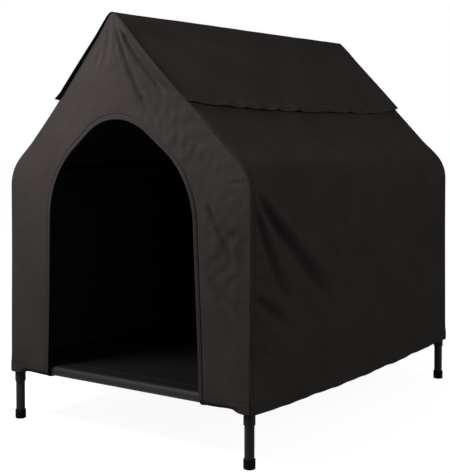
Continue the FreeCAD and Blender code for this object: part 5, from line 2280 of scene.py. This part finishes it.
@dataclass(frozen=True)
class Studio:
    """Camera, pale floor and soft light, fitted to the photograph's frame."""

    eye: tuple[float, float, float] = (1.347, -2.006, 0.6246)
    heading: float = 34.976
    pitch: float = 2.0
    focal_pixels: float = 1041.0
    centre_row: float = 165.6
    picture: tuple[int, int] = (450, 473)
    floor_half: float = 14.0
    floor_glow: float = 0.94
    sky_light: float = 0.26

    def camera(self) -> None:
        """Places the camera."""
        data = bpy.data.cameras.new("photo_camera")
        long_side = max(self.picture)
        data.lens = data.sensor_width * self.focal_pixels / long_side
        data.shift_y = (self.centre_row - self.picture[1] / 2) / long_side
        data.clip_end = 60
        camera = bpy.data.objects.new("photo_camera", data)
        camera.location = self.eye
        camera.rotation_euler = (math.radians(90 - self.pitch), 0.0, math.radians(self.heading))
        bpy.context.scene.collection.objects.link(camera)
        bpy.context.scene.camera = camera

    def lamp(
        self, name: str, place: Sequence[float], aim: Sequence[float], size: float, watts: float
    ) -> None:
        """Adds a square soft lamp that faces a point.

        Args:
            name: Name of the lamp.
            place: Where it stands.
            aim: Point that it faces.
            size: Length of its sides.
            watts: Its power.
        """
        data = bpy.data.lights.new(name, "AREA")
        data.size = size
        data.energy = watts
        lamp = bpy.data.objects.new(name, data)
        lamp.location = place
        way = Vector(aim) - Vector(place)
        lamp.rotation_euler = way.to_track_quat("-Z", "Y").to_euler()
        bpy.context.scene.collection.objects.link(lamp)

    def seen(self, graph: Graph) -> Value:
        """1 for rays that show the background: camera, glossy and transmission rays.

        Args:
            graph: Graph of the shader.

        Returns:
            The mask.
        """
        path = graph.node("ShaderNodeLightPath").outputs
        camera, glossy = Value(graph, path["Is Camera Ray"]), Value(graph, path["Is Glossy Ray"])
        return camera.either(glossy).either(Value(graph, path["Is Transmission Ray"]))

    def floor(self) -> None:
        """Pale floor that looks white and keeps the object's shadow."""
        half = self.floor_half
        mesh = bpy.data.meshes.new("floor")
        corners = [(-half, -half, 0), (half, -half, 0), (half, half, 0), (-half, half, 0)]
        mesh.from_pydata(corners, [], [(0, 1, 2, 3)])
        floor = link("floor", mesh)
        material = bpy.data.materials.new("floor_paper")
        material.use_nodes = True
        graph = Graph(material.node_tree)
        paper = graph.node("ShaderNodeBsdfDiffuse", {}, {"Color": (0.20, 0.20, 0.20, 1)})
        glow = graph.node("ShaderNodeEmission", {}, {"Strength": self.seen(graph) * self.floor_glow})
        both = graph.node("ShaderNodeAddShader", {}, {0: paper.outputs[0], 1: glow.outputs[0]})
        graph.node("ShaderNodeOutputMaterial", {}, {"Surface": both.outputs[0]})
        mesh.materials.append(material)

    def world(self) -> None:
        """Even pale light from all round; the background itself shows white."""
        world = bpy.data.worlds.new("studio")
        world.use_nodes = True
        graph = Graph(world.node_tree)
        strength = self.sky_light + self.seen(graph) * (1 - self.sky_light)
        sky = graph.node("ShaderNodeBackground", {}, {"Color": (1, 1, 1, 1), "Strength": strength})
        graph.node("ShaderNodeOutputWorld", {}, {"Surface": sky.outputs[0]})
        bpy.context.scene.world = world

    def build(self) -> None:
        """Sets the scene's camera, floor, light and view."""
        self.camera()
        self.floor()
        self.world()
        self.lamp("key", (-0.48, -1.08, 1.40), (0.0, -0.44, 0.55), 0.5, 32)
        self.lamp("fill", (2.26, 0.20, 1.10), (0.31, 0.0, 0.45), 1.2, 12)
        bpy.context.scene.view_settings.view_transform = "Standard"


def main() -> None:
    """Builds and dresses every piece, then the studio."""
    logging.basicConfig(level=logging.INFO, format="%(name)s %(message)s")
    cover = Cover(COVER_CLOTH.make(), BINDING_TAPE.make(), HOOK_TAPE.make(), NET_YARN.make())
    seamstress = Seamstress(SEWING_THREAD.make())
    bed = BedSling(
        "bed_sling", "bed_cloth", BED_CLOTH.make(), (0.734, 0.994), "stretched",
        ("front_cross_tube", "rear_cross_tube", "left_side_rail", "right_side_rail"), 0.66,
        thickness=0.001, offset=0.0, ripple=Ripple(37, 0.0006),
    )
    sheets = [bed, *cover.panels(), *cover.roof_layer(), *cover.tapes()]
    for seed, sheet in enumerate(sheets):
        sheet.build()
        sewn = seamstress.sew(sheet, seed)
        if sewn:
            LOG.info("%s: %d faces", sewn.name, len(sewn.data.polygons))
    for side in Side:
        VentNet(side, cover.yarn).build()
    TubeFrame(frame["nodes"]).dress()
    Studio().build()


if __name__ == "__main__":
    main()
